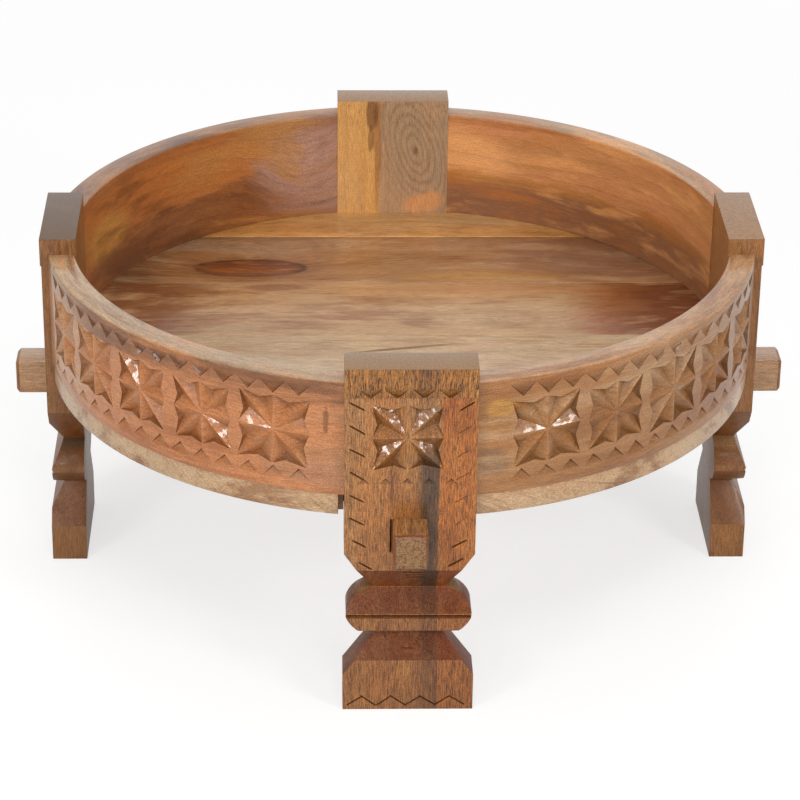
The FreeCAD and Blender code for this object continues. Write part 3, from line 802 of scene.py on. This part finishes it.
def groove(run, width, depth):
    """Bar that cuts a straight V."""
    grown = width / 2 * (1 + CUTTER_LIFT / depth)
    vertices = []
    for x in (-run / 2, run / 2):
        vertices += [(x, -grown, CUTTER_LIFT), (x, grown, CUTTER_LIFT), (x, 0, -depth)]
    faces = [(0, 1, 2), (5, 4, 3), (0, 3, 4, 1), (1, 4, 5, 2), (2, 5, 3, 0)]
    shades = [LIP_PAINTED_SHADE, LIP_PAINTED_SHADE, GROOVE_PAINTED_SHADE] * 2
    return vertices, faces, [[shades[index] for index in face] for face in faces]


def cutter(name, solids):
    """Cutting object: cut says how dark the shade painted on the wood is at the deepest points, facet marks
    all cut faces.
    """
    vertices = []
    faces = []
    cuts = []
    for points, sides, painted_shades in solids:
        first = len(vertices)
        vertices += points
        faces += [[first + index for index in side] for side in sides]
        cuts += painted_shades
    mesh = mesh_from(name, vertices, faces)
    shades = []
    for polygon, face, painted_shades in zip(mesh.polygons, faces, cuts):
        shades += [painted_shades[face.index(vertex)] for vertex in polygon.vertices]
    mesh.attributes.new("cut", "FLOAT", "CORNER").data.foreach_set("value", shades)
    mesh.attributes.new("facet", "FLOAT", "FACE").data.foreach_set("value", [1.0] * len(faces))
    return new_object(name, mesh)


def star_chips(width, depth, ridge):
    """Eight chips that leave an eight-pointed star of ridges in a square."""
    half = width / 2
    middle = Vector((half, 0))
    notch = Vector((NOTCH_OUT * half, NOTCH_SIDE * half))
    corner = Vector((half, half))
    deepest = notch * 0.9
    shrink = 1 - ridge / 2 / (deepest.y * 0.9)
    chips = []
    for turn in range(4):
        spin = Matrix.Rotation(turn * QUARTER_TURN, 2)
        for flip in (1, -1):
            outline = [Vector((0, 0)), middle, notch, corner]
            outline = [deepest + (point - deepest) * shrink for point in outline]
            outline = [spin @ Vector((point.x, point.y * flip)) for point in outline]
            edges = [0.0, EDGE_PAINTED_SHADE, EDGE_PAINTED_SHADE, 0.0] if flip == 1 else [EDGE_PAINTED_SHADE, EDGE_PAINTED_SHADE, 0.0, 0.0]
            tip = spin @ Vector((deepest.x, deepest.y * flip))
            chips.append(chip(outline[::flip], tip, depth, edges))
    return chips


def triangle_chip(width, height, depth, way, lean):
    """Border chip that points up (way 1) or down (way -1) and is deepest off its middle towards its point."""
    half = width / 2
    outline = [Vector((-half, -way * height / 2)), Vector((half, -way * height / 2)),
               Vector((0, way * height / 2))]
    edges = [0.0, EDGE_PAINTED_SHADE, EDGE_PAINTED_SHADE] if way == 1 else [EDGE_PAINTED_SHADE, 0.0, EDGE_PAINTED_SHADE]
    return chip(outline[::way], Vector((0, way * height * lean)), depth, edges)


def knife_stroke(run, width, depth, dark):
    """Slim cut with a level bottom and sloping ends; dark is the painted shade along its bottom."""
    bottom = run * 0.36
    grown = 1 + CUTTER_LIFT / depth
    tip = bottom + (run / 2 - bottom) * grown
    side = width / 2 * grown
    vertices = [(-tip, 0, CUTTER_LIFT), (-bottom, -side, CUTTER_LIFT), (bottom, -side, CUTTER_LIFT),
                (tip, 0, CUTTER_LIFT), (bottom, side, CUTTER_LIFT), (-bottom, side, CUTTER_LIFT),
                (-bottom, 0, -depth), (bottom, 0, -depth)]
    faces = [(0, 1, 2, 3, 4, 5), (0, 1, 6), (1, 2, 7, 6), (2, 3, 7), (3, 4, 7), (4, 5, 6, 7), (5, 0, 6)]
    shades = [0.2 * dark] * 6 + [dark] * 2
    return vertices, faces, [[shades[index] for index in face] for face in faces]


def open_tree(name, kinds):
    """New geometry tree with named inputs, given back as its bench and its input node."""
    tree = bpy.data.node_groups.new(name, "GeometryNodeTree")
    tree.interface.new_socket("Geometry", in_out="OUTPUT", socket_type="NodeSocketGeometry")
    for label, kind in kinds:
        tree.interface.new_socket(label, in_out="INPUT", socket_type=f"NodeSocket{kind}")
    bench = Bench(tree)
    return bench, bench.add("NodeGroupInput")


def crisp(bench, geometry, sharp_angle):
    """Smooth shading that breaks at the edges that bend more than an angle."""
    smooth = bench.add("GeometryNodeSetShadeSmooth", {"domain": "FACE"},
                       {"Geometry": geometry, "Shade Smooth": True})
    bend = bench.add("GeometryNodeInputMeshEdgeAngle")
    sharp = bench.sum("GREATER_THAN", bend, sharp_angle)
    return bench.add("GeometryNodeSetShadeSmooth", {"domain": "EDGE"},
                     {"Geometry": smooth, "Selection": sharp, "Shade Smooth": False})


def close_tree(bench, geometry, material):
    """Give a tree its output: plain mesh of one material."""
    whole = bench.add("GeometryNodeRealizeInstances", (), {"Geometry": geometry})
    dressed = bench.add("GeometryNodeSetMaterial", (), {"Geometry": whole, "Material": material})
    bench.add("NodeGroupOutput", (), {0: dressed})
    return bench.tree


def random_value(bench, low, high, seed):
    """Value that differs from copy to copy."""
    return bench.add("FunctionNodeRandomValue", {"data_type": "FLOAT"},
                     {"Min_001": low, "Max_001": high, "Seed": seed}, 1)


def carving_tree(name, rows, bent):
    """Node tree that cuts rows of chips out of a piece, on a round wall if bent or else on a flat face."""
    kinds = [("Geometry", "Geometry"), ("Material", "Material"), ("Seed", "Int"), ("Unevenness", "Float"),
             ("Face", "Float"), ("Middle", "Float"), ("Sharp Angle", "Float")]
    for row in rows:
        kinds += [(f"{row} Cutter", "Object"), (f"{row} Count", "Int"), (f"{row} Start", "Vector"),
                  (f"{row} Step", "Vector"), (f"{row} Turn", "Float"), (f"{row} Lean", "Float")]
    bench, given = open_tree(name, kinds)

    laid = []
    for index, row in enumerate(rows):
        line = bench.add("GeometryNodeMeshLine", {"mode": "OFFSET"}, {
            "Count": given.output(f"{row} Count"),
            "Start Location": given.output(f"{row} Start"),
            "Offset": given.output(f"{row} Step"),
        })
        seed = given.output("Seed") + 10 * index
        lean = random_value(bench, -1.0, 1.0, seed)
        size = random_value(bench, 0.93, 1.05, seed + 1)
        shape = bench.add("GeometryNodeObjectInfo", (), {"Object": given.output(f"{row} Cutter")}, "Geometry")
        turn = given.output(f"{row} Turn") + lean * given.output(f"{row} Lean")
        laid.append(bench.add("GeometryNodeInstanceOnPoints", (), {
            "Points": line,
            "Instance": shape,
            "Rotation": bench.join(0.0, 0.0, turn),
            "Scale": size,
        }))
    cutters = bench.add("GeometryNodeRealizeInstances", (), {
        "Geometry": bench.add("GeometryNodeJoinGeometry", (), {"Geometry": laid}),
    })

    # Uneven hand: each cut strays from its drawn place, and its deep tip strays more
    where = bench.add("GeometryNodeInputPosition")
    shift = bench.join(given.output("Seed") * 3.7, given.output("Seed") * 1.9, 0.0)
    wobble = bench.add("ShaderNodeTexNoise", (), {
        "Vector": bench.vector("MULTIPLY_ADD", where, WOBBLE_GRAIN, shift),
        "Scale": 1.0,
        "Detail": 1.0,
    }, "Color")
    stray = bench.split(bench.vector("SUBTRACT", wobble, (0.5, 0.5, 0.5)))
    x, y, z = bench.split(where)
    amount = given.output("Unevenness") * (2 + bench.sum("LESS_THAN", z, -TIP_DEPTH) * 5)
    x = x + stray[0] * amount
    y = y + stray[1] * amount
    reach = given.output("Face") + z * (1 + stray[2])
    if bent:
        turn = given.output("Middle") + x / given.output("Face")
        target = bench.join(reach * bench.sum("COSINE", turn), reach * bench.sum("SINE", turn), y)
    else:
        target = bench.join(x, -reach, y)
    cutters = bench.add("GeometryNodeSetPosition", (), {"Geometry": cutters, "Position": target})

    carved = bench.add("GeometryNodeMeshBoolean", {"operation": "DIFFERENCE", "solver": "EXACT"}, {
        "Mesh 1": given.output("Geometry"),
        "Mesh 2": cutters,
        "Self Intersection": True,
    })
    carved = crisp(bench, carved, given.output("Sharp Angle"))
    return close_tree(bench, carved, given.output("Material"))


def row_values(row, tool, count, start, step, turn=0.0, lean=0.05):
    """Inputs of one row of a carving tree; lean is how far a cut may turn from its drawn way."""
    return {f"{row} Cutter": tool, f"{row} Count": count, f"{row} Start": start, f"{row} Step": step,
            f"{row} Turn": turn, f"{row} Lean": lean}


def remove_tools(tools):
    """Take the cutters out of the scene."""
    for tool in tools:
        mesh = tool.data
        bpy.data.objects.remove(tool)
        bpy.data.meshes.remove(mesh)


def rounded_section(corners):
    """Outline with each corner rounded by its own radius: corners hold (across, up, radius)."""
    outline = []
    count = len(corners)
    for index, (across, up, radius) in enumerate(corners):
        here = Vector((across, up))
        before = (Vector(corners[index - 1][:2]) - here).normalized()
        after = (Vector(corners[(index + 1) % count][:2]) - here).normalized()
        middle = here + (before + after) * radius
        for step in range(ROUND_SEGMENTS + 1):
            swing = step / ROUND_SEGMENTS * QUARTER_TURN
            outline.append(middle - after * radius * math.cos(swing) - before * radius * math.sin(swing))
    return outline


def rim_blank(name, sizes):
    """Plain quarter of the rim wall in the back right quarter, cut square to the legs' sides."""
    section = rounded_section((
        (RIM_IN, RIM_FOOT, sizes.joint_round),
        (RIM_OUT, RIM_FOOT, sizes.joint_round),
        (RIM_OUT, RIM_TOP, sizes.rim_round),
        (RIM_IN, RIM_TOP, sizes.rim_round),
    ))
    count = len(section)
    vertices = []
    for step in range(RIM_STEPS + 1):
        for reach, up in section:
            start = math.asin(LEG_SIDE / reach)
            turn = start + (QUARTER_TURN - 2 * start) * step / RIM_STEPS
            vertices.append((reach * math.cos(turn), reach * math.sin(turn), up))
    faces = [tuple(range(count)), tuple(range(RIM_STEPS * count, (RIM_STEPS + 1) * count))]
    for step in range(RIM_STEPS):
        for index in range(count):
            here = step * count + index
            beside = step * count + (index + 1) % count
            faces.append((here, beside, beside + count, here + count))
    return mesh_from(name, vertices, faces)


class LOWTABLE_OT_rim(bpy.types.Operator):
    """Build the four carved quarters of the rim"""

    bl_idname = "lowtable.rim"
    bl_label = "Carve the rim"

    def execute(self, context):
        sizes = context.scene.low_table_carving
        colours = context.scene.low_table_colours
        pitch = sizes.star_pitch * RIM_OUT
        chip_pitch = pitch / sizes.chips
        chips = sizes.stars * sizes.chips
        star = cutter("star_cutter", star_chips(sizes.star_width, sizes.star_depth, sizes.ridge))
        upper = cutter("upper_chip_cutter", [
            triangle_chip(chip_pitch * 0.94, sizes.upper_chip, sizes.chip_depth, way=-1, lean=0.3),
        ])
        lower = cutter("lower_chip_cutter", [
            triangle_chip(chip_pitch * 0.86, sizes.lower_chip, sizes.chip_depth, way=1, lean=0.3),
        ])
        tree = carving_tree("carved_rim", ("Star", "Upper Chip", "Lower Chip"), True)
        first_star = -(sizes.stars - 1) / 2 * pitch
        first_chip = -(chips - 1) / 2 * chip_pitch
        chip_step = (chip_pitch, 0, 0)
        rows = {
            **row_values("Star", star, sizes.stars, (first_star, sizes.star_height, 0), (pitch, 0, 0)),
            **row_values("Upper Chip", upper, chips, (first_chip, sizes.upper_border, 0), chip_step),
            **row_values("Lower Chip", lower, chips, (first_chip, sizes.lower_border, 0), chip_step),
        }
        for index, quarter in enumerate(QUARTERS):
            name = f"rim_{quarter}"
            piece = new_object(f"carved_{name}", rim_blank(name, sizes))
            mesh = evaluated(piece, tree, {
                **rows,
                "Material": wood(f"{name}_wood", WOODS[name], colours),
                "Seed": RIM_SEED + index,
                "Unevenness": sizes.unevenness,
                "Face": RIM_OUT,
                "Middle": QUARTER_TURN / 2,
                "Sharp Angle": SMOOTH_ANGLE,
            })
            mesh.transform(Matrix.Rotation((index - 1) * QUARTER_TURN, 4, "Z"))
            finish_piece(piece, [name])
        remove_tools((star, upper, lower))
        return {"FINISHED"}


class LOWTABLE_OT_legs(bpy.types.Operator):
    """Build the four carved legs"""

    bl_idname = "lowtable.legs"
    bl_label = "Carve the legs"

    def execute(self, context):
        sizes = context.scene.low_table_carving
        colours = context.scene.low_table_colours
        work = cad_copy("leg_front")
        skin = BVHTree.FromBMesh(work)

        def on_face(x, up):
            """Point on the leg's outer face, its height out of the collar's plane last."""
            hit = skin.ray_cast(Vector((x, -2 * LEG_FACE, up)), Vector((0, 1, 0)))[0]
            return (x, up, -hit.y - LEG_FACE)

        def row(name, tool, count, start, step, turn=0.0, lean=0.05):
            """Row of cuts between two points of the leg's face."""
            begin = Vector(on_face(*start))
            next_spot = Vector(on_face(start[0] + step[0], start[1] + step[1]))
            return row_values(name, tool, count, begin, next_spot - begin, turn, lean)

        solids = {
            "star": star_chips(width=0.054, depth=sizes.star_depth, ridge=sizes.ridge),
            "collar": [triangle_chip(width=0.0195, height=0.0085, depth=0.0024, way=-1, lean=0.36)],
            "nick": [triangle_chip(width=0.0105, height=0.0048, depth=0.0024, way=1, lean=0.28)],
            "stroke": [knife_stroke(sizes.stroke, sizes.stroke_width, sizes.stroke_depth, STROKE_PAINTED_SHADE)],
            "faint": [knife_stroke(sizes.stroke, sizes.stroke_width, sizes.stroke_depth / 3, FAINT_PAINTED_SHADE)],
            "scribe": [groove(run=0.0148, width=0.0013, depth=0.0015)],
            "groove": [groove(run=0.12, width=0.0036, depth=0.0034)],
            "saw": [knife_stroke(run=0.0165, width=0.0013, depth=0.0014, dark=STROKE_PAINTED_SHADE)],
            "gouge": [knife_stroke(run=0.0125, width=0.0018, depth=0.0022, dark=STROKE_PAINTED_SHADE)],
            "gap": [groove(run=0.031, width=0.0016, depth=0.003)],
        }
        tools = {name: cutter(f"leg_{name}_cutter", cuts) for name, cuts in solids.items()}
        slant = math.radians(31)
        zigzag = math.radians(35)
        # Each row: its cutter, how many cuts, first place and step across and up, turn and lean
        rows = {
            **row("Star", tools["star"], 1, (-0.0025, 0.242), (0.001, 0)),
            **row("Collar Chip", tools["collar"], 4, (-0.031, 0.2795), (0.0202, 0)),
            **row("Nick", tools["nick"], 5, (-0.036, 0.2045), (0.0168, 0)),
            **row("Left Stroke", tools["stroke"], 6, (-0.0412, 0.2685), (0, -0.0198), -slant),
            **row("Left Low Stroke", tools["stroke"], 2, (-0.0392, 0.1497), (0.005, -0.0195), -slant),
            **row("Right Stroke", tools["stroke"], 1, (0.0425, 0.2685), (-0.0006, -0.0198), slant),
            **row("Right Faint Stroke", tools["faint"], 5, (0.0419, 0.2487), (-0.0006, -0.0198), slant),
            **row("Right Low Stroke", tools["stroke"], 2, (0.0385, 0.1497), (-0.0025, -0.0165), slant),
            **row("Rising Scribe", tools["scribe"], 4, (-0.042, 0.008), (0.0231, 0), zigzag),
            **row("Falling Scribe", tools["scribe"], 4, (-0.0315, 0.008), (0.0236, 0), -zigzag),
            **row("Bead Groove", tools["groove"], 1, (0, 0.0835), (0.001, 0), 0.0, 0.0),
            **row("Saw Mark", tools["saw"], 3, (0.0025, 0.1235), (0.001, -0.003)),
            **row("Foot Gouge", tools["gouge"], 1, (-0.001, 0.0535), (0.001, 0)),
            **row("Mortise Gap", tools["gap"], 1, (-0.0148, 0.1568), (0, 0.001), QUARTER_TURN, 0.0),
        }
        round_edges(work, sizes.leg_round, LEG_SHORTEST)
        blank = bpy.data.meshes.new("leg_blank")
        work.to_mesh(blank)
        work.free()
        names = [key.removesuffix(" Cutter") for key in rows if key.endswith(" Cutter")]
        tree = carving_tree("carved_leg", names, False)
        for index, side in enumerate(SIDES):
            name = f"leg_{side}"
            piece = new_object(f"carved_{name}", blank.copy())
            mesh = evaluated(piece, tree, {
                **rows,
                "Material": wood(f"{name}_wood", WOODS[name], colours),
                "Seed": LEG_SEED + index,
                "Unevenness": sizes.unevenness,
                "Face": LEG_FACE,
                "Sharp Angle": SMOOTH_ANGLE,
            })
            mesh.transform(Matrix.Rotation(index * QUARTER_TURN, 4, "Z"))
            finish_piece(piece, [name])
        remove_tools(tools.values())
        return {"FINISHED"}


def dress_copy(name, prefix, width, colours):
    """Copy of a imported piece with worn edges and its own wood."""
    work = cad_copy(name)
    round_edges(work, width, BOARD_SHORTEST)
    mesh = bpy.data.meshes.new(name)
    work.to_mesh(mesh)
    work.free()
    shade(mesh)
    mesh.materials.clear()
    mesh.materials.append(wood(f"{name}_wood", WOODS[name], colours))
    piece = new_object(f"{prefix}_{name}", mesh)
    finish_piece(piece, [name])


class LOWTABLE_OT_floor(bpy.types.Operator):
    """Build the six boards of the tray floor"""

    bl_idname = "lowtable.floor"
    bl_label = "Lay the floor boards"

    def execute(self, context):
        sizes = context.scene.low_table_carving
        colours = context.scene.low_table_colours
        for board in BOARDS:
            dress_copy(f"floor_board_{board}", "sanded", sizes.board_round, colours)
        return {"FINISHED"}


class LOWTABLE_OT_crossbeams(bpy.types.Operator):
    """Build the two crossbeams under the floor"""

    bl_idname = "lowtable.crossbeams"
    bl_label = "Fit the crossbeams"

    def execute(self, context):
        sizes = context.scene.low_table_carving
        colours = context.scene.low_table_colours
        for way in BEAMS:
            dress_copy(f"crossbeam_{way}", "planed", sizes.beam_round, colours)
        return {"FINISHED"}


def screw_spots(node):
    """Underside middle of each screw in a packed group, with the group's measures."""
    work = cad_copy(node)
    groups = []
    waiting = set(work.verts)
    while waiting:
        group = set()
        newest = {waiting.pop()}
        while newest:
            group |= newest
            newest = {link.other_vert(v) for v in newest for link in v.link_edges} - group
        waiting -= group
        groups.append([v.co.copy() for v in group])
    work.free()
    spots = []
    for group in groups:
        low = min(p.z for p in group)
        spots.append((sum(p.x for p in group) / len(group), sum(p.y for p in group) / len(group), low))
    middle = Vector(spots[0])
    reach = [(math.hypot(p.x - middle.x, p.y - middle.y), p.z - middle.z) for p in groups[0]]
    tall = max(up for _, up in reach)
    head = max(away for away, _ in reach)
    shank = min(away for away, up in reach if up > tall - WELD and away > WELD)
    neck = min(up for away, up in reach if up > WELD)
    return spots, head, shank, neck, tall


def screw_mesh(name, head, shank, neck, tall):
    """Countersunk wood screw, head down: a cone, a plain neck and a thread that runs to a point."""
    pitch = 0.0018
    sides = 20
    rings = 150
    thread_start = tall * 0.35
    tip = tall - 2.5 * shank
    core = shank * 0.68
    vertices = []
    for ring in range(rings + 1):
        up = neck + (tall - neck) * ring / rings
        taper = 1.0 if up < tip else max(0.04, (tall - up) / (tall - tip))
        for side in range(sides):
            turn = side / sides * 4 * QUARTER_TURN
            reach = shank * 0.93
            if up > thread_start:
                phase = (up / pitch - side / sides) % 1.0
                reach = core + (shank - core) * max(0.0, 1 - abs(phase - 0.5) / 0.28)
            reach *= taper
            vertices.append((reach * math.cos(turn), reach * math.sin(turn), up))
    for reach, up in ((head, 0.0003), (head - 0.0002, 0.0)):
        for side in range(sides):
            turn = side / sides * 4 * QUARTER_TURN
            vertices.append((reach * math.cos(turn), reach * math.sin(turn), up))
    brim = (rings + 1) * sides
    loops = [range(ring * sides, (ring + 1) * sides) for ring in range(rings, -1, -1)]
    loops += [range(brim, brim + sides), range(brim + sides, brim + 2 * sides)]
    faces = [tuple(loops[0]), tuple(loops[-1])]
    for upper, lower in zip(loops, loops[1:]):
        for side in range(sides):
            beside = (side + 1) % sides
            faces.append((upper[side], upper[beside], lower[beside], lower[side]))
    return mesh_from(name, vertices, faces)


def recess_mesh(name, head):
    """Cross that is sunk into a screw head, tapering upwards."""
    arm = head * 0.56
    width = head * 0.15
    depth = head * 0.45
    outline = []
    for turn in range(4):
        spin = Matrix.Rotation(turn * QUARTER_TURN, 2)
        outline += [spin @ Vector(point) for point in ((arm, -width), (arm, width), (width, width))]
    count = len(outline)
    vertices = [(p.x, p.y, -0.001) for p in outline]
    vertices += [(p.x * 0.5, p.y * 0.5, depth) for p in outline]
    faces = [tuple(range(count)), tuple(range(count, 2 * count))]
    for index in range(count):
        beside = (index + 1) % count
        faces.append((index, beside, beside + count, index + count))
    return mesh_from(name, vertices, faces)


def screw_tree():
    """Node tree that sinks the cross into one screw and sets a copy of it on each point."""
    bench, given = open_tree("driven_screws", (
        ("Geometry", "Geometry"), ("Screw", "Object"), ("Recess", "Object"), ("Seed", "Int"),
        ("Material", "Material"), ("Sharp Angle", "Float"),
    ))
    screw = bench.add("GeometryNodeObjectInfo", (), {"Object": given.output("Screw")}, "Geometry")
    recess = bench.add("GeometryNodeObjectInfo", (), {"Object": given.output("Recess")}, "Geometry")
    slotted = bench.add("GeometryNodeMeshBoolean", {"operation": "DIFFERENCE", "solver": "EXACT"},
                        {"Mesh 1": screw, "Mesh 2": recess})
    turn = random_value(bench, 0.0, QUARTER_TURN, given.output("Seed"))
    driven = bench.add("GeometryNodeInstanceOnPoints", (), {
        "Points": given.output("Geometry"),
        "Instance": crisp(bench, slotted, given.output("Sharp Angle")),
        "Rotation": bench.join(0.0, 0.0, turn),
    })
    return close_tree(bench, driven, given.output("Material"))


def drive_screws(node):
    """Detailed screws at the places of a packed group."""
    spots, head, shank, neck, tall = screw_spots(node)
    screw = new_object(f"{node}_blank", screw_mesh(f"{node}_blank", head, shank, neck, tall))
    recess = new_object(f"{node}_recess", recess_mesh(f"{node}_recess", head))
    points = bpy.data.meshes.new(f"{node}_points")
    points.from_pydata(sorted(spots), [], [])
    piece = new_object(f"driven_{node}", points)
    evaluated(piece, screw_tree(), {
        "Screw": screw,
        "Recess": recess,
        "Seed": SCREW_SEED,
        "Material": zinc(),
        "Sharp Angle": SCREW_ANGLE,
    })
    remove_tools((screw, recess))
    finish_piece(piece, [node])


class LOWTABLE_OT_screws(bpy.types.Operator):
    """Drive the countersunk screws of the rim and the crossbeams"""

    bl_idname = "lowtable.screws"
    bl_label = "Drive the screws"

    def execute(self, context):
        for node in SCREWS:
            drive_screws(node)
        return {"FINISHED"}


class LOWTABLE_OT_dowels(bpy.types.Operator):
    """Give the hidden dowels their wood"""

    bl_idname = "lowtable.dowels"
    bl_label = "Finish the dowels"

    def execute(self, context):
        material = wood("dowel_wood", WOODS["dowels"], context.scene.low_table_colours)
        for side in SIDES:
            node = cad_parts[f"dowels_leg_{side}"]
            for slot in node.material_slots:
                slot.material = material
        return {"FINISHED"}


def white_floor():
    """Pale floor that is white to the camera and keeps the shadow."""
    material = bpy.data.materials.new("studio_floor")
    material.use_nodes = True
    bench = Bench(material.node_tree)
    rays = bench.add("ShaderNodeLightPath", (), (), "Is Camera Ray")
    seen = bench.sum("MAXIMUM", rays, rays.output("Is Glossy Ray") * 0.5)
    plain = bench.add("ShaderNodeBsdfDiffuse", (), {"Color": (0.62, 0.62, 0.62)})
    shadow = bench.add("ShaderNodeBsdfDiffuse", (), {"Color": (0.4, 0.4, 0.4)})
    lift = bench.add("ShaderNodeEmission", (), {"Color": WHITE, "Strength": 0.68})
    bright = bench.add("ShaderNodeAddShader", (), {0: shadow, 1: lift})
    white = bench.add("ShaderNodeEmission", (), {"Color": WHITE, "Strength": 1.0})
    away = bench.vector("LENGTH", bench.add("ShaderNodeTexCoord", (), (), "Object")).output("Value")
    bright = bench.add("ShaderNodeMixShader", (), {0: bench.mask(away, 0.7, 2.0), 1: bright, 2: white})
    surface = bench.add("ShaderNodeMixShader", (), {0: seen, 1: plain, 2: bright})
    bench.add("ShaderNodeOutputMaterial", (), {"Surface": surface})
    return material


# Softboxes with place, width and height; the up-facing facets of the stars mirror the side ones
SIDE_BOXES = (
    ("left_low_softbox", (-1.458, -1.545, 0.811), 0.25, 0.18),
    ("right_low_softbox", (1.527, -1.451, 0.828), 0.25, 0.18),
    ("left_high_softbox", (-1.275, -1.684, 1.052), 0.5, 0.2),
    ("right_high_softbox", (1.34, -1.534, 1.19), 0.5, 0.2),
    ("left_near_softbox", (-0.691, -2.089, 0.823), 0.2, 0.2),
)
FRONT_BOX = ("front_softbox", (0.1, -1.9, 2.3), 0.9, 0.6)
TOP_BOX = ("top_softbox", (0.0, 0.9, 2.4), 1.4, 1.0)
LIT_POINT = (0, 0, 0.2)


def softbox(name, place, width, height, power):
    """Area lamp that faces the middle of the table."""
    lamp = bpy.data.lights.new(name, "AREA")
    lamp.shape = "RECTANGLE"
    lamp.size = width
    lamp.size_y = height
    lamp.energy = power
    holder = bpy.data.objects.new(name, lamp)
    holder.location = place
    holder.rotation_euler = (Vector(LIT_POINT) - Vector(place)).to_track_quat("-Z", "Y").to_euler()
    bpy.context.scene.collection.objects.link(holder)


class LOWTABLE_OT_stage(bpy.types.Operator):
    """Set up the floor, the light and the camera"""

    bl_idname = "lowtable.stage"
    bl_label = "Set the stage"

    def execute(self, context):
        scene = context.scene
        studio = scene.low_table_studio
        scene.view_settings.view_transform = "Standard"

        # The camera sees white, and so do reflections of what is behind the table
        world = bpy.data.worlds.new("studio_world")
        world.use_nodes = True
        scene.world = world
        bench = Bench(world.node_tree)
        rays = bench.add("ShaderNodeLightPath", (), (), "Is Camera Ray")
        way = bench.split(bench.add("ShaderNodeTexCoord", (), (), "Generated"))
        behind = bench.mask(way[1], -0.25, 0.3)
        mirrored = bench.sum("MAXIMUM", rays.output("Is Glossy Ray"), rays.output("Is Transmission Ray"))
        seen = bench.sum("MAXIMUM", rays, mirrored * behind)
        light = bench.add("ShaderNodeBackground", (), {"Color": WHITE, "Strength": studio.ambient})
        white = bench.add("ShaderNodeBackground", (), {"Color": WHITE, "Strength": 1.0})
        bench.add("ShaderNodeOutputWorld", (), {
            "Surface": bench.add("ShaderNodeMixShader", (), {0: seen, 1: light, 2: white}),
        })

        signs = ((-1, -1), (1, -1), (1, 1), (-1, 1))
        corners = [(x * FLOOR_REACH, y * FLOOR_REACH, 0) for x, y in signs]
        mesh = bpy.data.meshes.new("studio_floor")
        mesh.from_pydata(corners, [], [(0, 1, 2, 3)])
        mesh.materials.append(white_floor())
        new_object("studio_floor", mesh)

        for name, place, width, height in SIDE_BOXES:
            softbox(name, place, width, height, studio.side_power * width * height)
        softbox(*FRONT_BOX, studio.front_power)
        softbox(*TOP_BOX, studio.top_power)

        lens = bpy.data.cameras.new("photo_camera")
        lens.lens = studio.lens
        lens.sensor_width = SENSOR
        lens.shift_x = studio.shift_across
        lens.shift_y = studio.shift_up
        camera = bpy.data.objects.new("photo_camera", lens)
        flat = math.cos(studio.elevation)
        back = Vector((math.sin(studio.yaw) * flat, -math.cos(studio.yaw) * flat, math.sin(studio.elevation)))
        aim = Vector((studio.aim_side, 0, studio.aim_height))
        facing = back.to_track_quat("Z", "Y").to_matrix().to_4x4()
        lean = Matrix.Rotation(studio.roll, 4, "Z")
        camera.matrix_world = Matrix.Translation(aim + back * studio.distance) @ facing @ lean
        scene.collection.objects.link(camera)
        scene.camera = camera
        return {"FINISHED"}


class LOWTABLE_PT_build(bpy.types.Panel):
    """Steps and sizes of the table"""

    bl_idname = "LOWTABLE_PT_build"
    bl_label = "Low Table"
    bl_space_type = "VIEW_3D"
    bl_region_type = "UI"
    bl_category = "Low Table"

    def draw(self, context):
        for operator in OPERATORS:
            self.layout.operator(operator.bl_idname)
        for group in GROUPS:
            box = self.layout.box()
            values = getattr(context.scene, group)
            for name in values.__annotations__:
                box.prop(values, name)


GROUPS = {
    "low_table_carving": LowTableCarving,
    "low_table_colours": LowTableColours,
    "low_table_studio": LowTableStudio,
}
OPERATORS = (LOWTABLE_OT_rim, LOWTABLE_OT_legs, LOWTABLE_OT_floor, LOWTABLE_OT_crossbeams,
             LOWTABLE_OT_screws, LOWTABLE_OT_dowels, LOWTABLE_OT_stage)
CLASSES = (*GROUPS.values(), *OPERATORS, LOWTABLE_PT_build)


def register():
    for kind in CLASSES:
        bpy.utils.register_class(kind)
    for name, group in GROUPS.items():
        setattr(bpy.types.Scene, name, bpy.props.PointerProperty(type=group))


def unregister():
    for name in GROUPS:
        delattr(bpy.types.Scene, name)
    for kind in reversed(CLASSES):
        bpy.utils.unregister_class(kind)


def main():
    """Build the table and its stage."""
    register()
    bpy.ops.lowtable.rim()
    bpy.ops.lowtable.legs()
    bpy.ops.lowtable.floor()
    bpy.ops.lowtable.crossbeams()
    bpy.ops.lowtable.screws()
    bpy.ops.lowtable.dowels()
    bpy.ops.lowtable.stage()


if __name__ == "__main__":
    main()
